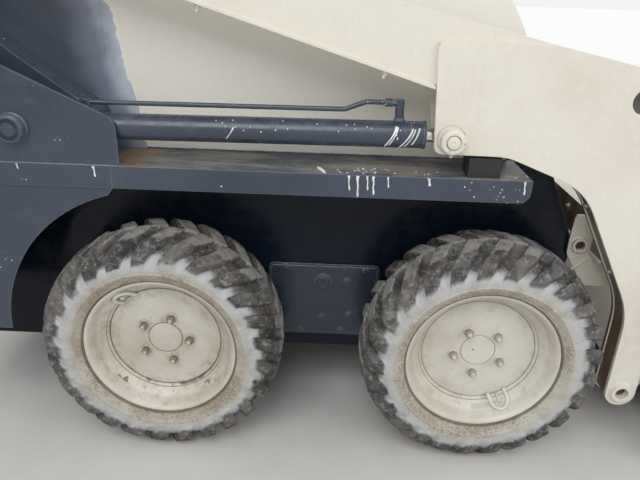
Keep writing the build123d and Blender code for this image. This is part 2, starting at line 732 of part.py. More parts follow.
def lift_pipe(angle):
    """The steel pipe that lies over the barrel, drawn in the barrel's own frame."""
    c, s = cos(radians(angle)), sin(radians(angle))
    points = []
    for x, z in PIPE_POINTS:
        dx, dz = x - LIFT_BASE[0], z - LIFT_BASE[1]
        points.append((dx * c + dz * s, 0, dz * c - dx * s))
    front, rear = points[-1], points[0]
    path = FilletPolyline(*points, radius=PIPE_BEND_R)
    shape = sweep(Plane(origin=path @ 0, z_dir=path % 0) * Circle(PIPE_R), path)
    shape += bar(PIPE_NUT_R, front[0] - 3 * PIPE_R - PIPE_NUT_L, front[0] - 3 * PIPE_R, 0, front[2])
    for x, z in ((front[0], front[2]), (rear[0], rear[2])):
        shape += post(PIPE_FOOT_R, (x, 0), LIFT_BORE_R + 2, z + PIPE_R + 2)
    return shape


lift_span = hypot(LIFT_EYE[0] - LIFT_BASE[0], LIFT_EYE[1] - LIFT_BASE[1])
lift_angle = degrees(atan2(LIFT_EYE[1] - LIFT_BASE[1], LIFT_EYE[0] - LIFT_BASE[0]))
lift_y = (ARM_Y[0] + ARM_Y[1]) / 2
lift_barrel = cylinder_barrel(
    LIFT_R, LIFT_BORE_R, LIFT_ROD_R, lift_span - LIFT_ROD_SHOWS, LIFT_BASE_WALL, LIFT_GLAND,
    LIFT_BASE_EYE_R, LIFT_PIN_R, LIFT_EYE_W)
lift_rod = cylinder_rod(
    LIFT_BORE_R, LIFT_ROD_R, LIFT_BASE_WALL, LIFT_PISTON, lift_span, LIFT_ROD_EYE_R, LIFT_EYE_W)
keep_pair("lift_barrel", placed(lift_barrel + lift_pipe(lift_angle), LIFT_BASE, LIFT_EYE, lift_y))
keep_pair("lift_rod", placed(lift_rod, LIFT_BASE, LIFT_EYE, lift_y))

tilt_eye = (HINGE[0] + TILT_EYE_DX, HINGE[1] + TILT_EYE_DZ)
tilt_span = hypot(tilt_eye[0] - TILT_BASE[0], tilt_eye[1] - TILT_BASE[1])
tilt_barrel = cylinder_barrel(
    TILT_R, TILT_BORE_R, TILT_ROD_R, tilt_span - TILT_ROD_SHOWS, TILT_BASE_WALL, TILT_GLAND,
    TILT_EYE_R, TILT_PIN_R, TILT_EYE_W)
tilt_rod = cylinder_rod(
    TILT_BORE_R, TILT_ROD_R, TILT_BASE_WALL + TILT_RETRACT, TILT_PISTON, tilt_span, TILT_EYE_R, TILT_EYE_W)
keep_pair("tilt_barrel", placed(tilt_barrel, TILT_BASE, tilt_eye, TILT_Y))
keep_pair("tilt_rod", placed(tilt_rod, TILT_BASE, tilt_eye, TILT_Y))


# Coupler and bucket, drawn from the bucket hinge in X and Z

lean = radians(BUCKET_LEAN)
back_normal = (cos(lean), -sin(lean))
back_reach = BUCKET_HEEL_X * back_normal[0] - BUCKET_HEEL_R


def back_x(z, offset_back=0.0):
    """X at height z of the bucket's back plane, or of a plane behind it."""
    return (back_reach - offset_back + z * sin(lean)) / cos(lean)


def coupler():
    plate = Polygon(
        (back_x(COUPLER_TOP), COUPLER_TOP), (back_x(COUPLER_BOTTOM), COUPLER_BOTTOM),
        (back_x(COUPLER_BOTTOM, COUPLER_T), COUPLER_BOTTOM),
        (back_x(COUPLER_TOP, COUPLER_T), COUPLER_TOP), align=None)
    shape = side_plate(plate, -COUPLER_Y, COUPLER_Y)
    low, high = EAR_Z
    ear = outline((
        *EAR_BACK, *EAR_TOP, (back_x(high, COUPLER_T / 2), high, 0),
        (back_x(low, COUPLER_T / 2), low, 0), EAR_TOE,
    ))
    toe = Polygon(
        *TOE_BACK, (back_x(TOE_Z[1]), TOE_Z[1]), (back_x(TOE_Z[0]), TOE_Z[0]),
        (TOE_FRONT_X, TOE_Z[0]), align=None)
    in_low = TILT_Y - TILT_EYE_W / 2 - EAR_GAP
    out_low = TILT_Y + TILT_EYE_W / 2 + EAR_GAP
    half = side_plate(ear, in_low - EAR_T, in_low) + side_plate(ear, out_low, out_low + EAR_T)
    half += side_plate(toe, in_low - EAR_T, out_low + EAR_T)
    tilt_at = (TILT_EYE_DX, TILT_EYE_DZ)
    half += pin(TILT_PIN_R, tilt_at, in_low - EAR_T, TILT_Y - TILT_EYE_W / 2 - FACE_GAP)
    half += pin(TILT_PIN_R, tilt_at, TILT_Y + TILT_EYE_W / 2 + FACE_GAP, out_low + EAR_T)
    half += pin(COUPLER_BAR_R, (0, 0), in_low - EAR_T, out_low + EAR_T)
    half += pin(HINGE_BORE_R - RUN_GAP, (0, 0), out_low, ARM_Y[1] + CHEEK_T - HINGE_PIN_RECESS)
    return Pos(HINGE[0], 0, HINGE[1]) * (shape + both_sides(half))


def bucket_face():
    touch = (BUCKET_HEEL_X - BUCKET_HEEL_R * back_normal[0], -BUCKET_HEEL_R * back_normal[1])
    mid_angle = (pi - lean + 1.5 * pi) / 2
    middle = (BUCKET_HEEL_X + BUCKET_HEEL_R * cos(mid_angle), BUCKET_HEEL_R * sin(mid_angle))
    top = (back_x(BUCKET_TOP), BUCKET_TOP)
    heel = (BUCKET_HEEL_X, BUCKET_FLOOR)
    lip = (BUCKET_LIP, BUCKET_FLOOR)
    cut = (BUCKET_LIP - SIDE_CUT[0], BUCKET_FLOOR + SIDE_CUT[1])
    side_top = (back_x(BUCKET_TOP) + SIDE_TOP_L, BUCKET_TOP)
    edges = Curve() + [
        Line(top, touch), ThreePointArc(touch, middle, heel), Line(heel, lip),
        Line(lip, cut), Line(cut, side_top), Line(side_top, top),
    ]
    return make_face(edges)


def bucket_shell():
    face = bucket_face()
    half = BUCKET_W / 2
    inner = half - BUCKET_SIDE_T
    shape = side_plate(face, -half, half)
    back = back_x(BUCKET_TOP) + BUCKET_T / cos(lean) + 1
    mouth = Polygon(
        (back, BUCKET_TOP + MOUTH_PAST), (back, THROAT_Z), (BUCKET_HEEL_X, BUCKET_FLOOR + BUCKET_T),
        (BUCKET_LIP + MOUTH_PAST, BUCKET_FLOOR + BUCKET_T),
        (BUCKET_LIP + MOUTH_PAST, BUCKET_TOP + MOUTH_PAST), align=None)
    shape -= side_plate(offset(face, -BUCKET_T), -inner, inner)
    shape -= side_plate(mouth, -inner, inner)
    notch = block(
        (BUCKET_LIP - EDGE_L, BUCKET_LIP + 1), (-half - 1, half + 1),
        (BUCKET_FLOOR - 1, BUCKET_FLOOR + EDGE_T))
    return Pos(HINGE[0], 0, HINGE[1]) * (shape - notch)


def cutting_edge():
    face = Polygon(
        (BUCKET_LIP - EDGE_L, BUCKET_FLOOR), (BUCKET_LIP, BUCKET_FLOOR),
        (BUCKET_LIP - EDGE_T * EDGE_BEVEL, BUCKET_FLOOR + EDGE_T),
        (BUCKET_LIP - EDGE_L, BUCKET_FLOOR + EDGE_T),
        align=None)
    return Pos(HINGE[0], 0, HINGE[1]) * side_plate(face, -BUCKET_W / 2, BUCKET_W / 2)


keep("coupler", coupler())
keep("bucket_shell", bucket_shell())
keep("cutting_edge", cutting_edge())


# Cab: side panels with screens, rear wall with a window, and roof

def side_panels():
    face = outline((
        (CAB_REAR_X, DECK_Z, 0), (CAB_FRONT_X, DECK_Z, 0), (CAB_FRONT_X, SILL_Z, 40), (*SIDE_KNEE, 60),
        (ROOF_FRONT_X, ROOF_Z[0], 0), (CAB_REAR_X, ROOF_Z[0], 0),
    ))
    shape = side_plate(face, HULL_Y - CAB_SIDE_T, HULL_Y)
    window = block(SCREEN_X, (HULL_Y - CAB_SIDE_T - 1, HULL_Y + 1), SCREEN_Z)
    return both_sides(shape - window)


def cab_screens():
    y = (HULL_Y - SCREEN_T - 2, HULL_Y - 2)
    x_low, x_high = SCREEN_X[0] + SEAT_GAP, SCREEN_X[1] - SEAT_GAP
    z_low, z_high = SCREEN_Z[0] + SEAT_GAP, SCREEN_Z[1] - SEAT_GAP
    shape = block((x_low, x_high), y, (z_low, z_high))
    cell_x = (x_high - x_low - SCREEN_BAR) / SCREEN_COLS
    cell_z = (z_high - z_low - SCREEN_BAR) / SCREEN_ROWS
    for col in range(SCREEN_COLS):
        for row in range(SCREEN_ROWS):
            x = x_low + SCREEN_BAR + col * cell_x
            z = z_low + SCREEN_BAR + row * cell_z
            shape -= block((x, x + cell_x - SCREEN_BAR), y, (z, z + cell_z - SCREEN_BAR))
    return both_sides(shape)


def cab_frame():
    wall_y = HULL_Y - CAB_SIDE_T
    shape = block((CAB_REAR_X, CAB_REAR_X + REAR_WALL_T), (-wall_y, wall_y), (DECK_Z, ROOF_Z[0]))
    shape -= block((CAB_REAR_X - 1, CAB_REAR_X + REAR_WALL_T + 1), (-WINDOW_Y, WINDOW_Y), WINDOW_Z)
    roof = block((CAB_REAR_X, ROOF_FRONT_X), (-HULL_Y, HULL_Y), ROOF_Z)
    roof -= block(
        (CAB_REAR_X + REAR_WALL_T, ROOF_FRONT_X - REAR_WALL_T), (-wall_y, wall_y),
        (ROOF_Z[0] - 1, ROOF_Z[1] - ROOF_T))
    for y in HOOD_HINGE_Y:
        for low, high in ((y - KNUCKLE_H, y - FACE_GAP), (y + KNUCKLE_H + FACE_GAP, y + 2 * KNUCKLE_H)):
            leaf_z = (HOOD_HINGE[1] - 2 * HOOD_KNUCKLE_R, HOOD_HINGE[1] + HOOD_KNUCKLE_R)
            shape += block((HOOD_HINGE[0] + HOOD_KNUCKLE_R - 2, CAB_REAR_X), (low, high), leaf_z)
            shape += pin(HOOD_KNUCKLE_R, HOOD_HINGE, low, high)
    return shape + roof


def rear_window():
    x = CAB_REAR_X + REAR_WALL_T / 2
    return block(
        (x - GLASS_T / 2, x + GLASS_T / 2), (-WINDOW_Y + SEAT_GAP, WINDOW_Y - SEAT_GAP),
        (WINDOW_Z[0] + SEAT_GAP, WINDOW_Z[1] - SEAT_GAP))


keep("side_panels", side_panels())
keep("cab_screens", cab_screens())
keep("cab_frame", cab_frame())
keep("rear_window", rear_window())


# Seat, controls and seat bar

def seat_base():
    return block(SEAT_X, (-SEAT_Y, SEAT_Y), (FLOOR_Z, SEAT_BASE_TOP))


def seat_cushion():
    return block(SEAT_X, (-SEAT_Y, SEAT_Y), (SEAT_BASE_TOP + SEAT_GAP, SEAT_BASE_TOP + CUSHION_T))


def seat_backrest():
    foot_z = SEAT_BASE_TOP + SEAT_GAP
    front = BACK_FRONT_X - SEAT_GAP
    top_front = front - BACK_LEAN
    rows = (
        (BACK_FOOT_X, foot_z, 0), (front, foot_z, 0), (front, SEAT_BASE_TOP + BACK_KNEE, 0),
        (top_front, BACK_TOP, BACK_CORNER_R), (top_front - BACK_TOP_T, BACK_TOP, BACK_CORNER_R),
    )
    return side_plate(outline(rows), -SEAT_Y, SEAT_Y)


def controls():
    wall = HULL_Y - HULL_T
    lever = post(LEVER_R, (LEVER_X, LEVER_Y), LEVER_FOOT, LEVER_TOP)
    lever += post(GRIP_R, (LEVER_X, LEVER_Y), LEVER_TOP - GRIP_LAP, LEVER_TOP + GRIP_L)
    return both_sides(lever + block(CONSOLE_X, (wall - CONSOLE_T, wall), CONSOLE_Z))


def seat_bar():
    along, rise = BAR_BEND
    half = [
        (BAR_PIVOT[0], BAR_Y, BAR_PIVOT[1]), (BAR_FRONT[0] - along, BAR_Y, BAR_FRONT[1] + rise),
        (BAR_FRONT[0], BAR_Y - along, BAR_FRONT[1]),
    ]
    points = half + [(x, -y, z) for x, y, z in reversed(half)]
    path = FilletPolyline(*points, radius=BAR_BEND_R)
    shape = sweep(Plane(origin=path @ 0, z_dir=path % 0) * Circle(BAR_R), path)
    wall = HULL_Y - CAB_SIDE_T - FACE_GAP
    return shape + both_sides(pin(BAR_BOSS_R, BAR_PIVOT, BAR_Y - BAR_R, wall))


keep("seat_base", seat_base())
keep("seat_cushion", seat_cushion())
keep("seat_backrest", seat_backrest())
keep("controls", controls())
keep("seat_bar", seat_bar())


# Engine bay: rear frame, engine, hood, rear door and exhaust

def rear_frame():
    rows = (
        (BAR_REAR_X[0], DECK_Z, 0), (CAB_REAR_X, DECK_Z, 0), (CAB_REAR_X, CHEEK_TOP, CHEEK_CORNER_R),
        (CHEEK_TOP_X, CHEEK_TOP, CHEEK_CORNER_R), (BAR_REAR_X[0], CHEEK_REAR_TOP, CHEEK_CORNER_R),
    )
    wall = side_plate(outline(rows), HULL_Y - HULL_T, HULL_Y)
    beam = block(BAR_REAR_X, (-HULL_Y, HULL_Y), BAR_REAR_Z)
    beam_z = sum(BAR_REAR_Z) / 2
    beam -= bar(EXHAUST_R + SEAT_GAP, BAR_REAR_X[0] - 1, BAR_REAR_X[1] + 1, EXHAUST_Y, beam_z)
    return both_sides(wall) + beam


def engine_block():
    return block(ENGINE_X, (-ENGINE_Y, ENGINE_Y), (BELLY_Z + HULL_T, ENGINE_TOP))


def hood():
    top = Polygon(
        HOOD_FRONT, HOOD_REAR, (HOOD_REAR[0], HOOD_REAR[1] - HOOD_SKIRT),
        (HOOD_FRONT[0], HOOD_FRONT[1] - HOOD_SKIRT), align=None)
    shape = side_plate(top, -HOOD_Y, HOOD_Y)
    inner = Pos(0, -HOOD_T) * top
    shape -= side_plate(inner, HOOD_T - HOOD_Y, HOOD_Y - HOOD_T)
    for y in HOOD_HINGE_Y:
        shape += pin(HOOD_KNUCKLE_R, HOOD_HINGE, y, y + KNUCKLE_H)
        shape += block(
            (HOOD_FRONT[0] - HOOD_LEAF_L, HOOD_HINGE[0]), (y, y + KNUCKLE_H),
            (HOOD_HINGE[1] - LEAF_T, HOOD_HINGE[1]))
    return shape


def rear_door():
    shape = block(DOOR_X, (-DOOR_Y, DOOR_Y), DOOR_Z)
    shape -= block(
        (DOOR_X[0] + DOOR_T, DOOR_X[1] + 1), (DOOR_T - DOOR_Y, DOOR_Y - DOOR_T),
        (DOOR_Z[0] + DOOR_T, DOOR_Z[1] - DOOR_T))
    pitch = (DOOR_Z[1] - DOOR_Z[0] - 2 * LOUVRE_EDGE + LOUVRE_H) / LOUVRES
    for row in range(LOUVRES):
        z = DOOR_Z[0] + LOUVRE_EDGE + row * pitch
        shape -= block((DOOR_X[0] - 1, DOOR_X[0] + DOOR_T + 1), (-LOUVRE_Y, LOUVRE_Y), (z, z + LOUVRE_H))
    axis = (DOOR_X[0] - KNUCKLE_R, KNUCKLE_Y)
    for z in DOOR_HINGE_Z:
        leaf = block((DOOR_X[0] - LEAF_T, DOOR_X[0]), (DOOR_Y - LEAF_W, KNUCKLE_Y), (z, z + KNUCKLE_H))
        shape += leaf + post(KNUCKLE_R, axis, z, z + KNUCKLE_H)
    return shape


def exhaust():
    z = sum(BAR_REAR_Z) / 2
    ends = (BAR_REAR_X[0] - EXHAUST_OUT, EXHAUST_IN_X)
    return bar(EXHAUST_R, *ends, EXHAUST_Y, z) - bar(EXHAUST_R - EXHAUST_WALL, *ends, EXHAUST_Y, z)


def lamps():
    """Round lamps under the roof's front edge: a tapered bowl, a ring and a domed lens."""
    ring_x = LAMP_T - LAMP_RING_T
    ring_r = LAMP_R + LAMP_RING_OUT
    profile = Curve() + [
        Line((0, 0), (0, LAMP_BACK_R)), Line((0, LAMP_BACK_R), (ring_x / 2, LAMP_R)),
        Line((ring_x / 2, LAMP_R), (ring_x, LAMP_R)), Line((ring_x, LAMP_R), (ring_x, ring_r)),
        Line((ring_x, ring_r), (LAMP_T, ring_r)), Line((LAMP_T, ring_r), (LAMP_T, LAMP_R)),
        Line((LAMP_T, LAMP_R), (LAMP_T + LAMP_DOME, 0)), Line((LAMP_T + LAMP_DOME, 0), (0, 0)),
    ]
    lamp = revolve(Plane.XZ * make_face(profile), Axis.X, 360)
    return both_sides(Pos(ROOF_FRONT_X, LAMP_Y, ROOF_Z[0] - LAMP_DROP) * lamp)


keep("rear_frame", rear_frame())
keep("engine_block", engine_block())
keep("hood", hood())
keep("rear_door", rear_door())
keep("exhaust", exhaust())
keep("lamps", lamps())


# The origin is the bottom centre of the whole machine's bounding box
boxes = [shape.bounding_box() for shape in nodes.values()]
low_x = min(box.min.X for box in boxes)
high_x = max(box.max.X for box in boxes)
origin_x = (low_x + high_x) / 2
for name, shape in nodes.items():
    export_step(Pos(-origin_x, 0, 0) * shape, "parts/" + name + ".step")
print("origin", origin_x, "low", low_x, "high", high_x, "base", min(box.min.Z for box in boxes))
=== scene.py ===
import json
import random
from math import asin, cos, exp, pi, radians, sin, sqrt

import bmesh
import bpy
from mathutils import Matrix, Vector, noise


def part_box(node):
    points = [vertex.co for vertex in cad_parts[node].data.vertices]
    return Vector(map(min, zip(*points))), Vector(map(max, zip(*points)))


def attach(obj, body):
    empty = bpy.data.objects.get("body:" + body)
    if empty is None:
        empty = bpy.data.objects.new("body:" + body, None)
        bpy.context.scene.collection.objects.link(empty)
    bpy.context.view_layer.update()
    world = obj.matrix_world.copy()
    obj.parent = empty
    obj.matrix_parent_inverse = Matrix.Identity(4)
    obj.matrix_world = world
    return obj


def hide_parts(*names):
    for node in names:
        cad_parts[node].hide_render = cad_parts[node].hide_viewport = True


# Looks of a compact skid-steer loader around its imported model.
# Sizes are in millimetres, drawn from the rear axle in X, the middle plane in Y and the ground
# in Z, and a piece's mesh is turned to metres in the model's own frame when it is made.
# Materials work in metres of the model's own frame.

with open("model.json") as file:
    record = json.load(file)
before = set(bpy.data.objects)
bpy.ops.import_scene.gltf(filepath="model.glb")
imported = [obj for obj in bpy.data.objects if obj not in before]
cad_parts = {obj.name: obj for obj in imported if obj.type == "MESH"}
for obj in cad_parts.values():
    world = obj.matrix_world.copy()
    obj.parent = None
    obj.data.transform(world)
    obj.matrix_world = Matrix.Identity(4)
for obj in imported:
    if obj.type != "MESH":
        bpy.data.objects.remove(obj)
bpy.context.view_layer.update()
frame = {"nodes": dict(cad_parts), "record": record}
nodes = frame["nodes"]
rng = random.Random(7)

MM = 0.001
CHASSIS = "chassis"
SIDES = {"l": 1, "r": -1}


def node_box(name):
    """A node's lowest and highest corners in millimetres, in the model's own frame."""
    return [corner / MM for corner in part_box(name)]


def node_middle(name):
    low, high = node_box(name)
    return (low + high) / 2


ORIGIN_X = node_middle("tyre_rear_r").x
WHEELBASE = node_middle("tyre_front_r").x - ORIGIN_X
WHEEL_Y = node_middle("tyre_rear_l").y
AXLE_Z = node_middle("tyre_rear_r").z
AXLES = {"rear": 0.0, "front": WHEELBASE}


# Colours, as sRGB from 0 to 255

def paint(red, green, blue):
    """The linear colour of an sRGB one."""
    linear = []
    for value in (red, green, blue):
        share = value / 255
        linear.append(share / 12.92 if share <= 0.04045 else ((share + 0.055) / 1.055) ** 2.4)
    return (*linear, 1.0)


def shaded(colour, share):
    return tuple(share * value for value in colour[:3]) + (1.0,)


CREAM = paint(222, 218, 206)
CREAM_DARK = paint(203, 197, 183)
CREAM_PALE = paint(236, 233, 224)
NAVY = paint(62, 71, 86)
# Navy darkened to the shade under the shelf: painted shade.
NAVY_IN_SHADE = paint(16, 24, 37)
# Pale slate for sharp edges: a painted highlight, with some rubbed paint.
NAVY_EDGE_WEAR_AND_HIGHLIGHT = paint(158, 162, 176)
SPRAY_BLUE = paint(116, 124, 140)
SPRAY_PALE = paint(184, 192, 204)
RIM = paint(208, 205, 195)
RIM_DARK = paint(182, 176, 162)
GRIME = paint(104, 88, 66)
FILM = paint(150, 146, 136)
OCHRE = paint(150, 112, 56)
DUST = paint(168, 160, 146)
RUST = paint(104, 70, 50)
# Brown for the boom leg's back-facing plates: partly a stain, partly painted shade.
SOIL_AND_SHADE = paint(92, 68, 44)
RUBBER = paint(101, 99, 97)
RUBBER_DARK = paint(50, 49, 49)
RUBBER_PALE = paint(158, 155, 150)
OVERSPRAY = paint(194, 197, 199)
SPRAY_CREAM = paint(206, 203, 192)
STEEL = paint(150, 148, 144)
WHITE = paint(244, 244, 242)
BLACK = paint(30, 30, 32)


# Materials

class Value:
    """A number or colour that a material's nodes work out."""

    def __init__(self, finish, socket):
        self.finish, self.socket = finish, socket

    def math(self, operation, other):
        return self.finish.node("Math", 0, {0: self, 1: other}, operation=operation)

    def __add__(self, other):
        return self.math("ADD", other)

    def __mul__(self, other):
        return self.math("MULTIPLY", other)

    def __sub__(self, number):
        return self + -number

    def swing(self, size):
        """A noise of 0 to 1 as one that runs to both sides of 0."""
        return (self - 0.5) * size

    def ramp(self, low, high):
        """0 where the value is at low and 1 where it is at high, either way round."""
        inputs = {"Value": self, "From Min": low, "From Max": high}
        return self.finish.node("MapRange", "Result", inputs, interpolation_type="SMOOTHSTEP")

    def under(self, share, colour):
        """This colour with a share of another laid over it."""
        return self.finish.mix(share, self, colour)


class Finish:
    """One procedural material, whose nodes are made by short calls."""

    def __init__(self, name, roughness=0.5, metallic=0.0):
        self.material = bpy.data.materials.new(name)
        self.material.use_nodes = True
        self.nodes = self.material.node_tree.nodes
        self.links = self.material.node_tree.links
        self.shader = self.nodes["Principled BSDF"]
        self.set("Roughness", roughness)
        self.set("Metallic", metallic)
        self.place = self.node("TexCoord", "Object")
        self.facing = self.node("TexCoord", "Normal")

    def node(self, kind, output, inputs=None, **settings):
        """Makes a node and gives one of its outputs."""
        made = self.nodes.new("ShaderNode" + kind)
        for key, value in settings.items():
            setattr(made, key, value)
        for key, value in (inputs or {}).items():
            self.put(made.inputs[key], value)
        return Value(self, made.outputs[output])

    def put(self, socket, value):
        if isinstance(value, Value):
            self.links.new(value.socket, socket)
        else:
            socket.default_value = value

    def set(self, name, value):
        """Sets or links one of the shader's own sockets."""
        self.put(self.shader.inputs[name], value)
        return self

    def colour(self, value):
        return self.set("Base Color", value)

    def noise(self, scale, detail=4.0, roughness=0.55, stretch=(1, 1, 1), shift=0.0):
        inputs = {"Vector": self.place, "Scale": stretch, "Location": (shift,) * 3}
        place = self.node("Mapping", 0, inputs)
        return self.node("TexNoise", "Fac", {
            "Vector": place, "Scale": scale, "Detail": detail, "Roughness": roughness,
        })

    def cells(self, scale):
        return self.node("TexVoronoi", "Distance", {"Vector": self.place, "Scale": scale})

    def mix(self, share, first, second):
        return self.node("Mix", 2, {0: share, 6: first, 7: second}, data_type="RGBA")

    def axis(self, name, source=None):
        return self.node("SeparateXYZ", name, {0: source or self.place})

    def attribute(self, name):
        return self.node("Attribute", "Fac", attribute_name=name)

    def bevel(self, radius):
        return self.node("Bevel", 0, {"Radius": radius}, samples=4)

    def edge(self, radius=0.004):
        """1 on sharp edges and 0 on flat faces."""
        normals = {0: self.bevel(radius), 1: self.node("NewGeometry", "Normal")}
        return self.node("VectorMath", "Value", normals, operation="DOT_PRODUCT").ramp(0.995, 0.9)

    def bump(self, height, distance, strength=1.0, soften=0.0):
        inputs = {"Height": height, "Distance": distance, "Strength": strength}
        if soften:
            inputs["Normal"] = self.bevel(soften)
        return self.set("Normal", self.node("Bump", 0, inputs))


def cream_tone(finish, dirt):
    """Thick off-white paint with an uneven film, dust, small stains, and pale edges that are a painted
    highlight with some rubbed paint.
    """
    tone = finish.mix(finish.noise(2.3, 5).ramp(0.4, 0.8), CREAM, CREAM_DARK)
    tone = tone.under(finish.noise(46, 3).ramp(0.5, 0.8) * 0.3, CREAM_PALE)
    tone = tone.under(finish.noise(9, 5, 0.7, stretch=(1, 1, 0.18)).ramp(0.6, 0.85) * dirt, DUST)
    tone = tone.under(finish.noise(310, 2).ramp(0.68, 0.74) * dirt, GRIME)
    # Pale along sharp edges: a painted highlight of the rounded edge, with some rubbed paint.
    return tone.under(finish.edge() * 0.45, CREAM_PALE)


def brushed(finish, tone):
    """Ends a finish with the ripple of brushed paint."""
    ripple = finish.noise(34, 3, 0.5) + finish.noise(150, 2) * 0.25
    return finish.colour(tone).bump(ripple, 0.0022, 0.45, soften=0.0025)


def cream_finish():
    finish = Finish("cream", roughness=0.4)
    return brushed(finish, cream_tone(finish, 0.3))


def pin_finish():
    """Cream paint chipped to dark metal on a turned ring."""
    finish = Finish("cream_chipped", roughness=0.45)
    chips = finish.noise(75, 5, 0.7).ramp(0.6, 0.66)
    tone = cream_tone(finish, 0.5).under(chips * 0.85, paint(92, 84, 70))
    return brushed(finish, tone.under(finish.attribute("grime_and_shade") * 0.6, GRIME))


def leg_finish():
    """Cream paint whose plates that face back are stained brown and darkened by painted shade, up to the
    cheek.
    """
    finish = Finish("cream_stained_and_shaded", roughness=0.5)
    # Plates that face back get the brown: partly a real stain, partly painted shade of a plate in deep shade.
    back = finish.axis("X", finish.facing).ramp(-0.2, -0.75)
    height = finish.axis("Z").ramp(0.9, 0.83)
    stain = finish.noise(7, 5, 0.65, stretch=(1, 1, 0.4)).ramp(0.25, 0.62)
    return brushed(finish, cream_tone(finish, 0.4).under(back * height * (stain * 0.45 + 0.5), SOIL_AND_SHADE))


def panel_finish():
    """Cream cab side that turns to slate at the back, with the pale blue mist of sprayed paint, and its cream
    lightened as painted light.
    """
    finish = Finish("cream_to_slate", roughness=0.42)
    border_x, border_z, border_lean = ORIGIN_X * MM - 0.085, 0.965, 0.2
    distance = finish.axis("X") - border_x + (finish.axis("Z") - border_z) * border_lean
    distance += finish.noise(7, 3).swing(0.09)
    torn = distance + finish.noise(34, 5).swing(0.018)
    cloudy = distance + finish.noise(5, 4).swing(0.14)
    slate = slate_tone(finish, NAVY).under(cloudy.ramp(-0.15, -0.03), SPRAY_BLUE)
    slate = slate.under(cloudy.ramp(-0.06, 0.012), SPRAY_PALE)
    # The cream is mixed far towards CREAM_PALE to make up for the arm's shade on the panel: painted light.
    cream = cream_tone(finish, 0.2).under(0.8, CREAM_PALE).under(torn.ramp(0.014, 0.001), CREAM_PALE)
    return brushed(finish, cream.under(torn.ramp(0.001, -0.001), slate))


def slate_tone(finish, base, dusty=1.0):
    """Slate blue paint with a film of dust, most on what faces up, and pale edges that are a painted
    highlight with some rubbed paint.
    """
    tone = finish.mix(finish.noise(3.1, 5).ramp(0.3, 0.8), base, shaded(base, 0.72))
    up = finish.axis("Z", finish.facing).ramp(0.3, 0.9)
    dust = finish.noise(17, 6, 0.7).ramp(0.5, 0.8) * (up * (0.22 * dusty) + 0.06 * dusty)
    # Pale along sharp edges: a painted highlight of the rounded edge, with some rubbed paint.
    return tone.under(dust, FILM).under(finish.edge(0.003) * 0.5, NAVY_EDGE_WEAR_AND_HIGHLIGHT)


def dots(finish, scale, size, low):
    """Round spots with a radius of size in one cell, where a slow noise is above low."""
    patches = finish.noise(scale * 0.13, 3, shift=3).ramp(low, low + 0.04)
    return finish.cells(scale).ramp(size, size * 0.7) * patches


def slate_finish(name="slate", base=NAVY, low=0.62, dusty=1.0):
    """Slate paint with spots of white spray."""
    finish = Finish(name, roughness=0.36)
    finish.set("Roughness", finish.noise(17, 6, 0.7).ramp(0.1, 1.3))
    finish.colour(slate_tone(finish, base, dusty).under(dots(finish, 90, 0.16, low), WHITE))
    return finish.bump(finish.noise(60, 4), 0.0009, 0.4, soften=0.002)


def shelf_finish():
    """Slate shelf with a trodden film of dust, an ochre stain by the tower and white spray."""
    finish = Finish("slate_shelf", roughness=0.42)
    up = finish.axis("Z", finish.facing).ramp(0.5, 0.9)
    film = finish.noise(5, 6, 0.7, stretch=(1, 2.4, 1)).ramp(0.42, 0.6)
    tone = slate_tone(finish, NAVY).under(film * up * 0.7, FILM)
    worn = finish.noise(16, 5, 0.6, shift=2).ramp(0.55, 0.62)
    tone = tone.under(worn * up * 0.55, paint(112, 104, 92))
    along = finish.axis("X") - ORIGIN_X * MM
    stain = along.ramp(-0.13, -0.08) * along.ramp(0.02, -0.05) * finish.noise(30, 5).ramp(0.35, 0.6)
    tone = tone.under(stain * up * 0.85, OCHRE)
    spots = dots(finish, 95, 0.15, 0.6).math("MAXIMUM", dots(finish, 42, 0.09, 0.56))
    finish.colour(tone.under(spots, WHITE))
    return finish.bump(finish.noise(60, 4) + film * 0.3, 0.001, 0.4, soften=0.003)


def plain_finish(name, colour, roughness, metallic=0.0, grain=120, depth=0.0004, worn=None):
    """A finish with fine grain and a second tone where it is worn."""
    finish = Finish(name, roughness, metallic)
    patches = finish.noise(14, 5, 0.65).ramp(0.45, 0.75)
    finish.colour(finish.mix(patches, colour, worn or shaded(colour, 0.6)))
    return finish.bump(finish.noise(grain, 3), depth, 0.6, soften=0.0015)


def glass_finish():
    finish = Finish("glass", roughness=0.04).colour((0.8, 0.86, 0.86, 1))
    return finish.set("Transmission Weight", 0.9).set("IOR", 1.45)


def bucket_finish():
    """Dark paint that is scoured to bright and rusty steel towards the lip."""
    finish = Finish("bucket_paint", roughness=0.45)
    lip_x = node_box("bucket_shell")[1].x
    near = finish.axis("X").ramp((lip_x - 420) * MM, (lip_x - 40) * MM) * finish.axis("Z").ramp(0.36, 0.06)
    bare = (finish.noise(11, 6, 0.7) + near * 0.55).ramp(0.66, 0.78)
    rust = finish.noise(23, 6, 0.7, shift=5).ramp(0.42, 0.62)
    finish.colour(slate_tone(finish, paint(54, 58, 70)).under(bare, finish.mix(rust, STEEL, RUST)))
    finish.set("Metallic", bare * rust.ramp(1.0, 0.0) * 0.6)
    return finish.bump(finish.noise(70, 5), 0.0014, 0.5, soften=0.002)


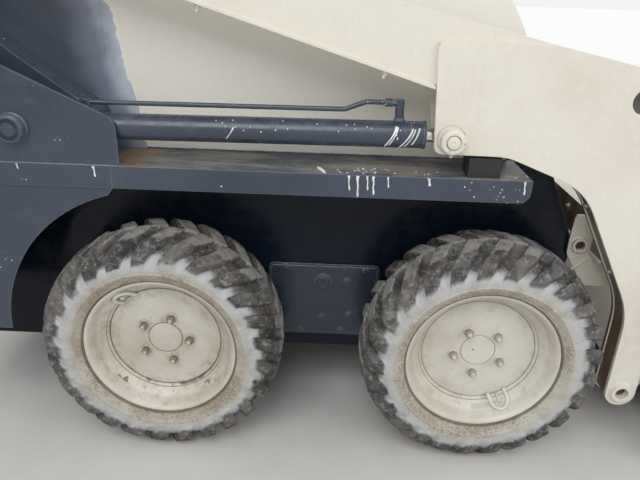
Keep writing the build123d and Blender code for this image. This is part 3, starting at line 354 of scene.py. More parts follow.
def rim_finish(place):
    """Old cream paint on a wheel: a dark line of painted shade in each groove, dirt, and chips along the
    ledge.
    """
    finish = Finish("rim_" + place, roughness=0.45)
    dirt, chipped = {"rear": (0.75, 0.85), "front": (0.3, 0.25)}[place]
    shift = len(place)
    grime_and_shade = finish.attribute("grime_and_shade")
    tone = finish.mix(finish.noise(5, 5).ramp(0.35, 0.75), RIM, RIM_DARK)
    tone = tone.under(finish.noise(60, 4).ramp(0.55, 0.8) * 0.35, DUST)
    patch = finish.noise(4, 5, 0.6, shift=shift).ramp(0.52, 0.7)
    tone = tone.under(patch * (dirt * 0.3), paint(158, 148, 128))
    ragged = (grime_and_shade + finish.noise(42, 5, 0.7).swing(1.5)).ramp(0.35, 0.85) * grime_and_shade.ramp(0.2, 0.35)
    tone = tone.under(ragged * dirt, GRIME)
    mottle = finish.noise(34, 6, 0.75).ramp(0.44, 0.66) * grime_and_shade.ramp(0.01, 0.05)
    tone = tone.under(mottle * (dirt * 0.6), paint(146, 128, 100))
    below = finish.axis("Z").ramp((AXLE_Z - 85) * MM, (AXLE_Z - 115) * MM)
    chips = finish.noise(16, 5, 0.6, shift=shift).ramp(0.52, 0.56) * below * grime_and_shade.ramp(0.12, 0.15)
    tone = tone.under(chips * chipped, paint(84, 79, 70))
    # A dark line where the value is near 1: painted shade in the grooves and on the nut heads.
    finish.colour(tone.under(grime_and_shade.ramp(0.93, 0.99) * 0.5, paint(92, 84, 72)))
    return finish.bump(finish.noise(55, 3), 0.001, 0.4, soften=0.0015)


def tyre_finish(place):
    """Worn rubber with pale scuffed lugs, grey-white spray at their feet and a brown inner band."""
    finish = Finish("rubber_" + place, roughness=0.78)
    shift, banded = {"rear": (0.0, 0.6), "front": (5.0, 0.35)}[place]
    radius, lug, scuff = (finish.attribute(name) for name in ("radius", "lug", "scuff"))
    tone = finish.mix(finish.noise(11, 6, 0.7, shift=shift).ramp(0.38, 0.62), RUBBER_DARK, RUBBER)
    pale = (scuff + finish.noise(26, 6, 0.75) * 1.8).ramp(1.6, 2.1)
    scratches = finish.noise(52, 6, 0.8, shift=shift).ramp(0.52, 0.6)
    cuts = finish.noise(38, 6, 0.8, shift=shift + 7).ramp(0.54, 0.6)
    mud = finish.noise(7, 5, 0.7, shift=shift + 3).ramp(0.5, 0.68)
    tone = tone.under(pale * 0.65, RUBBER_PALE).under(scratches * 0.5, RUBBER_PALE)
    tone = tone.under(cuts * 0.6, paint(40, 39, 39)).under(mud * 0.22, GRIME)
    drift = radius + finish.noise(6, 5, 0.7, shift=shift).swing(0.06)
    reach = drift + finish.noise(38, 5, 0.7).swing(0.02) + lug * 0.02
    veil = finish.noise(30, 5, 0.7) * 0.5 + 0.5
    outside = finish.attribute("outside").ramp(0.3, 0.7)
    spray_tone = finish.mix(drift.ramp(0.232, 0.262), SPRAY_CREAM, OVERSPRAY)
    spray_tone = spray_tone.under(finish.noise(19, 5).ramp(0.45, 0.7) * 0.5, DUST)
    tone = tone.under(reach.ramp(0.296, 0.276) * veil * outside, spray_tone)
    low = finish.noise(5, 4, 0.6, shift=shift + 1).ramp(0.42, 0.6)
    band = drift.ramp(0.262, 0.222) * (low * 0.6 + 0.4)
    tone = tone.under(band * banded, paint(146, 132, 110))
    grains = finish.noise(210, 4, 0.65)
    speckle = (grains + band * 0.2).ramp(0.64, 0.7) * band.ramp(0.05, 0.5)
    bead = radius.ramp(0.2155, 0.2135)
    finish.colour(tone.under(speckle * 0.5, GRIME).under(bead * 0.7, paint(78, 70, 58)))
    return finish.bump(finish.noise(60, 5, 0.65) + grains * 0.3, 0.0022, 0.6)


FINISHES = {
    "cream_paint": cream_finish(),
    "slate_paint": slate_finish(),
    "wheel_paint": plain_finish("wheel_paint", RIM, 0.5, worn=DUST),
    "rod_chrome": plain_finish("rod_chrome", paint(225, 225, 228), 0.14, 1.0, depth=0.0001),
    "bare_steel": plain_finish("bare_steel", STEEL, 0.38, 0.85, worn=RUST),
    "bucket_paint": bucket_finish(),
    "seat_vinyl": plain_finish("seat_vinyl", paint(38, 38, 40), 0.5, grain=400),
    "black_rubber": plain_finish("black_rubber", paint(40, 39, 40), 0.7, grain=90, depth=0.001),
    "black_plastic": plain_finish("black_plastic", BLACK, 0.45, grain=500),
    "engine_iron": plain_finish("engine_iron", paint(64, 66, 70), 0.6, 0.4),
    "window_glass": glass_finish(),
    "lamp_lens": plain_finish("lamp_lens", paint(225, 228, 230), 0.12),
}
LEG = leg_finish()
PANEL = panel_finish()
SHELF = shelf_finish()
# The hull's navy is darkened to the depth of the shade under the shelf: painted shade.
HULL = slate_finish("slate_hull", NAVY_IN_SHADE, 0.9, 0.15).set("Specular IOR Level", 0.2)
# The cover's slate is darker than the rest, for the shade of the shelf above: painted shade.
COVER = slate_finish("slate_cover", paint(44, 52, 65), 0.9, 0.6)
RUBBERS = {place: tyre_finish(place) for place in AXLES}
RIMS = {place: rim_finish(place) for place in AXLES}
DRIP = plain_finish("white_drip", WHITE, 0.35, grain=60)
PIN_CREAM = pin_finish()
BRIGHT = plain_finish("bright_steel", paint(196, 196, 192), 0.3, 0.9, worn=paint(140, 134, 124))
RUSTED = plain_finish("rusted", paint(100, 66, 50), 0.7, grain=200, worn=paint(68, 50, 42))
REFLECTOR = plain_finish("reflector", paint(222, 224, 226), 0.16, 0.9, depth=0.0001)
RED_LENS = plain_finish("red_lens", paint(168, 26, 22), 0.12)


def dress_nodes():
    """Gives every CAD node the finish of its slot, or of its own."""
    slots = {part["node"]: part["material_slot"] for part in frame["record"]["subparts"]}
    own = {
        "boom_leg_l": LEG, "boom_leg_r": LEG, "side_panels": PANEL, "fender_l": SHELF, "fender_r": SHELF,
        "lower_frame": HULL, "rear_frame": PANEL, "boom_cross_tube": LEG,
    }
    for name, node in nodes.items():
        if slots[name] == "tyre":
            finish = RUBBERS["rear" if "rear" in name else "front"]
        else:
            finish = own.get(name, FINISHES[slots[name]])
        node.data.materials.clear()
        node.data.materials.append(finish.material)


dress_nodes()


# Meshes

X, Y, Z = Vector((1, 0, 0)), Vector((0, 1, 0)), Vector((0, 0, 1))
AXES = {"X": (Y, Z, X), "Y": (X, Z, Y), "Z": (X, Y, Z)}


def frame_of(direction):
    ahead = Vector(direction).normalized()
    across = ahead.orthogonal().normalized()
    return across, ahead.cross(across), ahead


def rounded(rows, steps=5):
    """Outline points from rows of X, Z and corner radius."""
    points = []
    for index, (x, z, radius) in enumerate(rows):
        here = Vector((x, z))
        before = Vector(rows[index - 1][:2]) - here
        after = Vector(rows[(index + 1) % len(rows)][:2]) - here
        reach = min(radius, before.length / 2, after.length / 2)
        first, last = here + before.normalized() * reach, here + after.normalized() * reach
        for step in range(steps + 1):
            share = step / steps
            points.append(first.lerp(here, share).lerp(here.lerp(last, share), share))
    return points


def box_outline(x, z, radius):
    corners = ((x[0], z[0]), (x[1], z[0]), (x[1], z[1]), (x[0], z[1]))
    return rounded([(*corner, radius) for corner in corners])


class Build:
    """The mesh of one piece, in millimetres, put together from closed forms."""

    def __init__(self):
        self.points, self.faces, self.grime_and_shade = [], [], []

    def add(self, points, faces, grime_and_shade=None):
        start = len(self.points)
        self.points.extend(Vector(point) for point in points)
        self.faces.extend(tuple(start + index for index in face) for face in faces)
        self.grime_and_shade.extend(grime_and_shade or [0.0] * len(points))

    def skin(self, rings, loop=False, grime_and_shade=None):
        """Joins rings of equal length, with caps at the ends or the last ring joined to the first."""
        count = len(rings[0])
        spans = len(rings) if loop else len(rings) - 1
        faces = []
        for row in range(spans):
            here, there = row * count, (row + 1) % len(rings) * count
            for col in range(count):
                after = (col + 1) % count
                faces.append((here + col, here + after, there + after, there + col))
        if not loop:
            last = (len(rings) - 1) * count
            faces.append(tuple(range(count))[::-1])
            faces.append(tuple(range(last, last + count)))
        shade = [grime_and_shade[row] for row in range(len(rings)) for _ in range(count)] if grime_and_shade else None
        self.add([point for ring in rings for point in ring], faces, shade)

    def lathe(self, rows, centre=(0, 0, 0), along="Y", count=48, loop=False, turn=0.0, grime_and_shade=None):
        """Turns rows of place and radius about an axis through a centre."""
        across, over, ahead = AXES[along] if isinstance(along, str) else frame_of(along)
        angles = [turn + 2 * pi * col / count for col in range(count)]
        self.skin([[
            Vector(centre) + across * (radius * cos(angle)) + over * (radius * sin(angle)) + ahead * place
            for angle in angles
        ] for place, radius in rows], loop, grime_and_shade)

    def tube(self, path, radius, count=10, rough=0.0):
        """A round bar along points. Rough makes it uneven, as a weld is."""
        path = [Vector(point) for point in path]
        radii = radius if isinstance(radius, (list, tuple)) else [radius] * len(path)
        turns = [2 * pi * col / count for col in range(count)]
        rings = []
        side = None
        for index, point in enumerate(path):
            ahead = (path[min(index + 1, len(path) - 1)] - path[max(index - 1, 0)]).normalized()
            if side is None:
                side = ahead.orthogonal().normalized()
            side = (side - ahead * side.dot(ahead)).normalized()
            up = ahead.cross(side)
            size = radii[index] * (1 + rng.uniform(-rough, rough))
            rings.append([point + size * (cos(turn) * side + sin(turn) * up) for turn in turns])
        self.skin(rings)

    def plate(self, outline, low, high, bevel=1.5):
        """A flat plate from X, Z points between two Y planes, with broken edges."""
        middle = sum((Vector(point) for point in outline), Vector((0, 0))) / len(outline)

        def ring(y, inset):
            points = []
            for point in outline:
                inward = (middle - Vector(point)).normalized() * inset
                points.append((point[0] + inward.x, y, point[1] + inward.y))
            return points

        self.skin([ring(low, bevel), ring(low + bevel, 0), ring(high - bevel, 0), ring(high, bevel)])

    def weld(self, path, radius=4.0, step=7.0):
        """A bead of weld metal laid along straight runs."""
        points = []
        for first, last in zip(path, path[1:]):
            first, last = Vector(first), Vector(last)
            count = max(2, round((last - first).length / step))
            points += [first.lerp(last, index / count) for index in range(count)]
        self.tube(points + [path[-1]], radius, 8, 0.18)

    def bolt(self, centre, radius=9.0, height=7.0):
        """A hexagon head with a washer, on a face that looks to +Y."""
        x, y, z = centre
        turn = rng.uniform(0, 1)
        self.lathe([(0, radius * 1.35), (1.6, radius * 1.35), (1.8, radius * 1.1)], centre, count=20)
        head = [(0, radius), (height - 1.2, radius), (height, radius * 0.84)]
        self.lathe(head, (x, y + 1.5, z), count=6, turn=turn)

    def both(self):
        """Adds the mirror image on the other side of the machine."""
        points = [(point.x, -point.y, point.z) for point in self.points]
        self.add(points, [face[::-1] for face in self.faces], list(self.grime_and_shade))
        return self

    def piece(self, name, body, slot, finish=None, centre=(0, 0, 0), side=1, sharp=38, replaces=(),
              layers=None):
        """Makes the object, moved to a centre and mirrored in Y where side is -1."""
        cx, cy, cz = centre
        mesh = bpy.data.meshes.new(name)
        mesh.from_pydata([
            ((point.x + cx + ORIGIN_X) * MM, side * (point.y + cy) * MM, (point.z + cz) * MM)
            for point in self.points
        ], [], self.faces)
        work = bmesh.new()
        work.from_mesh(mesh)
        bmesh.ops.recalc_face_normals(work, faces=work.faces)
        work.to_mesh(mesh)
        work.free()
        for layer, values in {"grime_and_shade": self.grime_and_shade, **(layers or {})}.items():
            mesh.attributes.new(layer, "FLOAT", "POINT").data.foreach_set("value", values)
        mesh.shade_smooth()
        mesh.set_sharp_from_angle(angle=radians(sharp))
        mesh.materials.append((finish or FINISHES[slot]).material)
        made = bpy.data.objects.new(name, mesh)
        bpy.context.scene.collection.objects.link(made)
        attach(made, body)
        if replaces:
            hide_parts(*replaces)
        return made


# Tyres: a carcass with slanted lugs on each half, half a pitch apart

LUGS = 25
# Phases in one pitch and the height there of the outer half's lug, and the inner half's, half a pitch on
LUG_STEPS = (
    (0.0, 0.94), (0.03, 1.0), (0.07, 1.0), (0.14, 1.0), (0.22, 1.0), (0.30, 1.0), (0.38, 1.0), (0.44, 1.0),
    (0.47, 1.0), (0.50, 0.94), (0.53, 0.6), (0.57, 0.0), (0.64, 0.0), (0.72, 0.0), (0.80, 0.0), (0.88, 0.0),
    (0.94, 0.0), (0.97, 0.6),
)
# Carcass Y and radius, and the Y and radius of a lug's top, from the middle of the tread outwards
TREAD_ROWS = (
    (0, 312, 0, 335), (12, 311.8, 12, 334.8), (25, 311.3, 26, 334.3), (40, 310, 42, 333.2),
    (55, 308, 58, 331.5), (68, 304.5, 73, 328.5), (80, 299.5, 86, 324), (88, 293, 95, 317.5),
    (94, 286, 102, 309), (99, 278, 106.5, 299), (103, 271, 108.6, 289), (105.5, 264.5, 109, 279.5),
    (106.6, 259, 108.9, 270.5), (107.1, 255, 108.4, 263), (107.2, 251, 107.4, 255),
)
# Y and radius down the sidewall to the bead
WALL_ROWS = (
    (107, 247), (106.4, 243), (106.6, 240.5), (107.6, 238.6), (107.4, 237.0), (105.4, 234.5), (103, 230),
    (100.2, 225.5), (97.6, 221.5), (95.6, 218.6), (94.2, 217), (93.4, 215.5), (93.8, 213.6), (92.6, 211),
    (88, 209.5), (82, 208.5), (79, 204.5), (74, 200.5),
)
LEAN_WALL = 5.0
LEAN_CROWN = 15.0
LUG_START = {"rear": 6.336, "front": 8.064}


def lug_height(phase):
    """A lug's height at a phase of its pitch, from its table."""
    phase %= 1
    for (first, low), (last, high) in zip(LUG_STEPS, LUG_STEPS[1:] + ((1.0, LUG_STEPS[0][1]),)):
        if phase <= last:
            return low + (high - low) * (phase - first) / (last - first)
    return 0.0


def lug_lean(radius, y):
    """How far a lug has leant over, in degrees, at a radius and Y of the carcass."""
    wall = max(0.0, min(1.0, (radius - 262) / 40))
    crown = max(0.0, 1 - abs(y) / 92) ** 0.9
    return LEAN_WALL * wall + (LEAN_CROWN - LEAN_WALL) * crown


def tyre(place, side_name):
    side = SIDES[side_name]
    width = {half: [rng.uniform(0.86, 1.0) for _ in range(LUGS)] for half in (-1, 1)}
    reach = {half: [rng.uniform(-0.9, 0.6) for _ in range(LUGS)] for half in (-1, 1)}
    phases = sorted({round((phase + shift) % 1, 4) for phase, _ in LUG_STEPS for shift in (0, 0.5)})
    columns = [(lug, phase) for lug in range(LUGS) for phase in phases]
    heights = {
        half: [lug_height(phase + shift) for _, phase in columns] for half, shift in ((1, 0), (-1, 0.5))
    }
    treads, walls = range(len(TREAD_ROWS)), range(len(WALL_ROWS))
    table = [(-1, "wall", index) for index in walls[::-1]] + [(-1, "tread", index) for index in treads[:0:-1]]
    table += [(1, "tread", index) for index in treads] + [(1, "wall", index) for index in walls]
    layers = {"radius": [], "lug": [], "scuff": [], "outside": []}
    rings = []
    for half, zone, index in table:
        ring = []
        for column, (lug, phase) in enumerate(columns):
            height = heights[half][column]
            if zone == "wall":
                y, radius = WALL_ROWS[index]
                height, lean, scuff = 0.0, 0.0, 0.0
            else:
                low_y, low_r, top_y, top_r = TREAD_ROWS[index]
                if index == 0:
                    height = max(heights[1][column], heights[-1][column])
                end = len(TREAD_ROWS) - 1.6 + reach[half][lug]
                height *= max(0.0, min(1.0, (end - index) / 0.9)) * width[half][lug]
                y = low_y + (top_y - low_y) * height
                radius = low_r + (top_r - low_r) * height
                lean = lug_lean(low_r, low_y)
                crest = 1.0 if 0.8 < height < 0.95 else 0.35
                scuff = height * (crest + (0.3 if index < 5 else -0.3))
            angle = radians(LUG_START[place] + (lug + phase) * 360 / LUGS - lean)
            spot = Vector((radius * cos(angle), half * y, radius * sin(angle)))
            wear = noise.noise(spot * 0.035 + Vector((place == "front", side, 0)) * 9)
            chip = noise.noise(spot * 0.12)
            out = 1 + (0.004 * wear * height + 0.0045 * chip * height - 0.0035 * height)
            ring.append(Vector((spot.x * out, spot.y, spot.z * out)))
            for layer, value in zip(layers.values(), (radius * MM, height, scuff, float(half > 0))):
                layer.append(value)
        rings.append(ring)
    build = Build()
    build.skin(rings, loop=True)
    build.piece(f"tread_{place}_{side_name}", f"wheel_{place}_{side_name}", "tyre", RUBBERS[place],
                (AXLES[place], WHEEL_Y, AXLE_Z), side, 50, (f"tyre_{place}_{side_name}",), layers)


# Rims

# Place along the axle from the wheel's middle, radius, and grime and painted shade of the outer face; values
# near 1 give a groove's painted shade line
RIM_FACE = (
    (82, 207, 0.4), (86, 209, 0.2), (88.4, 208.6, 0), (89, 206, 0), (88.2, 203, 0), (85, 199.5, 0),
    (79, 195.6, 0.05), (72, 191.8, 0.05), (65, 189, 0.1), (60, 187.2, 0.1), (57, 186.2, 0.1),
    (54.5, 184.6, 0.12), (51, 180.5, 0.18), (45.5, 174, 0.18), (40, 169.5, 0.08), (35, 166, 0.05),
    (31, 163, 0.15), (28.6, 160, 0.5), (27.2, 158.2, 1.0), (26.2, 157.2, 1.0), (27, 156.2, 0.9),
    (27.2, 154.5, 0.1), (27.2, 120, 0), (27.2, 84, 0), (27.2, 50, 0.1), (26.2, 48.6, 1.0),
    (26.2, 47.2, 1.0), (27.4, 46, 0), (27.6, 26, 0), (27.6, 0.4, 0),
)
# The hub behind it and the inner side, back to where the face starts
RIM_BACK = (
    (-126, 0.4), (-126, 30), (4, 30), (4, 85), (19, 85), (19, 150), (26, 159), (0, 160), (-34, 160),
    (-46, 185), (-83, 185), (-89, 188), (-89, 206), (-86, 208), (-83, 206), (-82, 191), (-46, 190),
    (-34, 165), (34, 165), (46, 190), (62, 193), (72, 197), (79, 202), (82, 205),
)
NUT_CIRCLE = 69.85
NUTS = 5
NUT_START = {"rear": 143.3, "front": 118.9}
DISC_Y = 27
GUARD_AT = {"rear": 126.0, "front": -63.0}
VALVE_CIRCLE = 163


def nut(build, angle):
    """A wheel nut on its cone, with the stud's end."""
    spot = (NUT_CIRCLE * cos(angle), DISC_Y, NUT_CIRCLE * sin(angle))
    turn = rng.uniform(0, 1)
    build.lathe([(0, 15), (1.5, 15), (3.5, 12.4)], spot, count=24, grime_and_shade=[0.9, 0.7, 0.3])
    head = [(2, 11.6), (17.5, 11.6), (20, 9.6), (20.4, 7)]
    # The head's values near 1 make the rim finish darken it: painted shade, with dirt.
    build.lathe(head, spot, count=6, turn=turn, grime_and_shade=[1, 0.97, 0.96, 0.98])
    build.lathe([(20, 6.2), (23, 6.0), (24, 4.6)], spot, count=14, grime_and_shade=[0.7, 0.4, 0.4])


def valve(build, angle):
    """A tyre valve under its bent guard rod."""
    outward = Vector((cos(angle), 0, sin(angle)))
    across = Vector((-sin(angle), 0, cos(angle)))
    guard = []
    for step in range(15):
        turn = pi * step / 14
        spot = outward * (164 + 22 * sin(turn)) + across * 24 * cos(turn)
        guard.append(spot + Vector((0, 46 + 22 * sin(turn), 0)))
    first, last = (end - outward * 14 - Vector((0, 16, 0)) for end in (guard[0], guard[-1]))
    build.tube([first] + guard + [last], 5.2, 12)
    foot = outward * VALVE_CIRCLE
    for low, high, radius in (((0, 30), (4, 46), 4.2), ((4, 45), (7, 57), 5.6)):
        build.tube([foot + outward * out + Vector((0, y, 0)) for out, y in (low, high)], radius, 12)


def rim(place, side_name):
    build = Build()
    rows = [row[:2] for row in RIM_FACE] + list(RIM_BACK)
    build.lathe(rows, count=120, loop=True, grime_and_shade=[row[2] for row in RIM_FACE] + [0.4] * len(RIM_BACK))
    for index in range(NUTS):
        nut(build, radians(NUT_START[place] + index * 360 / NUTS))
    # The front hub's small hole is a tiny disc that the rim finish darkens: painted shade of the hole.
    if place == "front":
        build.lathe([(27.4, 3.2), (27.9, 3.2), (28, 2.6)], (-14, 0, 2), count=12, grime_and_shade=[1, 1, 1])
    valve(build, radians(GUARD_AT[place]))
    build.piece(f"disc_{place}_{side_name}", f"wheel_{place}_{side_name}", "wheel_paint", RIMS[place],
                (AXLES[place], WHEEL_Y, AXLE_Z), SIDES[side_name], 32, (f"rim_{place}_{side_name}",))


for place in AXLES:
    for side_name in SIDES:
        tyre(place, side_name)
        rim(place, side_name)


# Chassis sides: cover plate with its bolts and plug, and welds

HULL_Y = node_box("lower_frame")[1].y
COVER_LOW, COVER_HIGH = node_box("chaincase_covers")
COVER_X = (COVER_LOW.x - ORIGIN_X, COVER_HIGH.x - ORIGIN_X)
COVER_FACE = COVER_HIGH.y
DECK_Z = node_box("fender_l")[1].z
LIP_Y = node_box("fender_l")[1].y
TOWER_FACE = node_box("tower_outer_l")[1].y
COVER_BOLTS = (
    (324, 492), (422, 493), (509, 492), (566, 486), (511, 447), (523, 332), (440, 321), (500, 277),
    (372, 271),
)
COVER_PLUG = (439, 443)
SILL_Z = 262


def chain_cover():
    build = Build()
    x, z = COVER_X, (COVER_LOW.z, COVER_HIGH.z)
    build.plate(box_outline(x, z, 18), HULL_Y, COVER_FACE, 1.2)
    inner = box_outline((x[0] + 8, x[1] - 8), (z[0] + 8, z[1] - 8), 12)
    build.plate(inner, COVER_FACE - 1, COVER_FACE + 0.8, 0.6)
    for x, z in COVER_BOLTS:
        build.bolt((x, COVER_FACE, z), 8, 6)
    rows = [(0, 26), (4, 26), (5.5, 24.5), (5.5, 21), (10, 20), (11.5, 18), (11.5, 13), (4, 12), (3.5, 0.5)]
    build.lathe(rows, (COVER_PLUG[0], COVER_FACE, COVER_PLUG[1]), count=36)
    build.both().piece("chain_covers", CHASSIS, "slate_paint", COVER, replaces=("chaincase_covers",))


def hull_fittings():
    """Bolts along the sill, the belly's drain plugs and the welds beside the cover."""
    build = Build()
    for x in (-420, -210, 20, 215, 660, 860, 1010):
        build.bolt((x, HULL_Y, 236), 7, 5)
    for x in (-500, 160, 720):
        build.lathe([(0, 26), (-4, 26), (-5, 12), (-9, 11), (-10, 9)], (x, 210, 215), "Z", 24)
    for first, last in ((COVER_X[0] - 4, -120), (COVER_X[1] + 4, 1010)):
        build.weld([(first, HULL_Y, SILL_Z), (last, HULL_Y, SILL_Z)], 2.6)
    build.both().piece("sill_fittings", CHASSIS, "slate_paint")


def shelf_welds():
    """Beads along the shelf and at the tower's foot, and the tower's plate let into the lip."""
    build = Build()
    y, z = TOWER_FACE - 9, DECK_Z + 1
    build.weld([(-77, TOWER_FACE - 1, z), (-77, y, z)], 3.2, 4)
    build.weld([(-78, y, z), (-330, y, z)], 3)
    build.weld([(-80, LIP_Y - 3, DECK_Z), (-755, LIP_Y - 3, DECK_Z)], 2.6)
    strip = [(-758, 776), (-99.5, 776), (-99.5, DECK_Z), (-758, DECK_Z)]
    build.plate(strip, TOWER_FACE - 1, LIP_Y, 0.4)
    build.weld([(-60, HULL_Y + 1, z), (930, HULL_Y + 1, z)], 3)
    build.both().piece("shelf_welds", CHASSIS, "slate_paint")


# Lift cylinders, boom pins and the paint runs on the shelf's right lip and on the right barrel

LIFT_BASE = (-330.0, 922.0)
LIFT_EYE = (738.0, 930.0)
LIFT_Y = 562.0
PIVOT = (-620.0, 1480.0)
HINGE = (1312.0, 208.0)
CHEEK_FACE = 604.0
# Where each run on the lip starts, how far down it goes and how wide it is
LIP_RUNS = (
    (495, 38, 2.6), (517, 55, 3.0), (541, 36, 2.2), (556, 48, 2.6), (592, 28, 2.0), (694, 20, 3.6),
    (930, 34, 2.4), (-143, 28, 2.6), (-336, 14, 2.4),
)
LIP_SHARES = (1.5, 1.2, 0.8, 0.75, 0.7, 0.8, 1.1, 0.7)
BLOT = ((417, 560), (424, 574), (431, 590), (436, 606))
# Runs over the barrel: X at the top and bottom, height at the top and bottom, width
BARREL_RUNS = (
    (606, 580, 952, 903, 2.4), (610, 590, 951, 906, 1.6), (646, 616, 949, 900, 2.0),
    (652, 628, 948, 902, 1.5), (662, 646, 950, 910, 2.0), (208, 190, 938, 910, 1.6),
)
BARREL_SHARES = (1.4, 1.2, 1, 0.9, 0.8, 0.8, 1, 0.7)
BARREL_R = 33


def barrel_axis(x):
    """Height of the lift cylinder's middle line at X."""
    return LIFT_BASE[1] + (x - LIFT_BASE[0]) * (LIFT_EYE[1] - LIFT_BASE[1]) / (LIFT_EYE[0] - LIFT_BASE[0])


def on_barrel(x, turn, radius):
    """A point round the lift cylinder's middle line, from its outer side upwards."""
    return Vector((x, LIFT_Y + radius * cos(turn), barrel_axis(x) + radius * sin(turn)))


def lip_runs():
    build = Build()
    for x, length, width in LIP_RUNS:
        top, bottom = Vector((x, LIP_Y - 0.6, DECK_Z - 2)), Vector((x + 3, LIP_Y - 0.6, DECK_Z - 2 - length))
        path = [top.lerp(bottom, step / 7) + Vector((rng.uniform(-0.9, 0.9), 0, 0)) for step in range(8)]
        build.tube(path, [width * share for share in LIP_SHARES], 8)
        for _ in range(4):
            spot = (x + rng.uniform(-34, 30), LIP_Y - rng.uniform(14, 60), DECK_Z - 0.6)
            build.lathe([(0, rng.uniform(2, 5)), (1.4, rng.uniform(1, 2))], spot, "Z", 9)
    build.tube([(x, y, DECK_Z - 1.2) for x, y in BLOT], [4, 6, 5, 3], 8)
    build.piece("paint_runs_lip", CHASSIS, "cream_paint", DRIP, side=-1)


def barrel_runs():
    build = Build()
    for x_top, x_bottom, z_top, z_bottom, width in BARREL_RUNS:
        path = []
        for step in range(8):
            share = step / 7
            x = x_top + (x_bottom - x_top) * share ** 1.3
            height = (z_top + (z_bottom - z_top) * share - barrel_axis(x)) / BARREL_R
            path.append(on_barrel(x, asin(max(-0.97, min(0.97, height))), BARREL_R))
        build.tube(path, [width * share for share in BARREL_SHARES], 7)
    for _ in range(22):
        x = rng.uniform(120, 670)
        turn = rng.uniform(-0.2, 1.2)
        build.lathe([(0, 2.2), (1.2, 0.8)], on_barrel(x, turn, BARREL_R - 0.4), (0, cos(turn), sin(turn)), 7)
    build.piece("paint_runs_barrel", "lift_barrel_r", "cream_paint", DRIP, side=-1)


def lift_fittings(side_name):
    """The barrel's bands, gland bolts and hose union, and the ring and grease nipple on the rod's pin."""
    side = SIDES[side_name]
    axis = Vector((LIFT_EYE[0] - LIFT_BASE[0], 0, LIFT_EYE[1] - LIFT_BASE[1])).normalized()
    build = Build()
    for x, rows in (
        (672, [(0, 33.4), (0.8, 35), (7, 35), (8, 33.8), (8, 22), (10, 21.5), (10, 18.2)]),
        (640, [(0, 33.2), (2, 33.9), (3, 33.9), (5, 33.2)]),
        (-258, [(-3, 33), (0, 35.4), (6, 35.4), (9, 33)]),
    ):
        build.lathe(rows, (x, LIFT_Y, barrel_axis(x)), axis, 40, loop=True)
    for angle in (0.4, 2.0, 3.6, 5.2):
        build.lathe([(2, 3), (4.4, 3), (4.6, 1)], on_barrel(677, angle, 27), axis, 8)
    port = Vector((613, LIFT_Y, barrel_axis(613) + 32))
    build.lathe([(0, 15), (5, 14.4), (6, 12.5), (9, 12)], port, "Z", 24)
    build.lathe([(9, 10.8), (19, 10.8), (20.5, 9)], port, "Z", 6)
    build.lathe([(0, 9.4), (15, 9.4), (16, 8)], (590, LIFT_Y, 1006), "X", 6)
    build.piece("lift_barrel_bands_" + side_name, "lift_barrel_" + side_name, "slate_paint", side=side)
    build = Build()
    x, z = LIFT_EYE
    build.lathe([(0, 36), (2, 35.2), (4.5, 31), (5, 28)], (x, CHEEK_FACE - 1, z), grime_and_shade=[1, 0.6, 0.3, 0])
    ring = [
        (20, 17.4), (35.5, 17.4), (37.5, 19.5), (37.5, 25.5), (36, 28.5), (33, 30.5), (26, 30.5), (23, 28.4),
        (20, 28.2),
    ]
    build.lathe(ring, (x, CHEEK_FACE, z), loop=True)
    cap = [(30, 17.2), (35, 15.6), (40.6, 15.2), (41.6, 13.6), (41.6, 4), (40.4, 3), (40.4, 0.4)]
    build.lathe(cap, (x, CHEEK_FACE, z), count=36)
    nipple = [(0, 5), (5, 5), (5, 3.4), (9, 3.4), (10, 4.2), (12.5, 4.2), (14.5, 2.2)]
    build.lathe(nipple, (x, CHEEK_FACE + 14, z - 27), (0, 0.12, -1), 16)
    build.piece("lift_pin_ring_" + side_name, "boom", "cream_paint", PIN_CREAM, side=side)


def tower_fittings():
    """Collars on the lift cylinder's lower pin and a kept cap on the boom's pivot."""
    build = Build()
    x, z = LIFT_BASE
    rows = [
        (0, 38), (2.5, 37.6), (4.5, 34), (11, 33.4), (12, 31.4), (13.5, 31.4), (14.5, 34), (20, 34),
        (21, 32.6), (22, 30.2), (24.8, 29.6), (25, 27), (25, 17), (23.6, 16), (23.6, 0.4),
    ]
    build.lathe(rows, (x, TOWER_FACE, z))
    x, z = PIVOT
    build.lathe([(0, 54), (2.5, 53), (5, 47), (6, 44.2)], (x, TOWER_FACE, z))
    for angle in (1.57, 3.67, 5.76):
        build.bolt((x + 29 * cos(angle), TOWER_FACE + 14, z + 29 * sin(angle)), 7.5, 6)
    build.lathe([(13, 12), (17, 12), (18, 9), (22, 4), (24, 3)], (x, TOWER_FACE, z), count=20)
    for height in (420, 560, 700):
        build.bolt((-735, TOWER_FACE, height), 8, 6)
    build.both().piece("tower_collars", CHASSIS, "slate_paint")


# Boom: flange bolts, welds, the gusset's eye, the leg's bolts and the pins at its foot

ARM_FLANGE = ((-300.0, 1347.4), (688.0, 1046.3))
FLANGE_NORMAL = (0.29, 0, 0.96)
GUSSET_EYE = (1172, 600)
GUSSET_FACE = 445
CROSS_TUBE_X = 1204
LEG_BOLT = Vector((1113, 572, 767))
LEG_BOLT_STEP = -210
LEG_BACK = Vector((-0.879, 0, -0.476))
LEG_UP = Vector((-0.476, 0, 0.879))
TUBE_BOLT = (1206, 245, 642)


def flange_z(x):
    (low_x, low_z), (high_x, high_z) = ARM_FLANGE
    return low_z + (x - low_x) * (high_z - low_z) / (high_x - low_x)


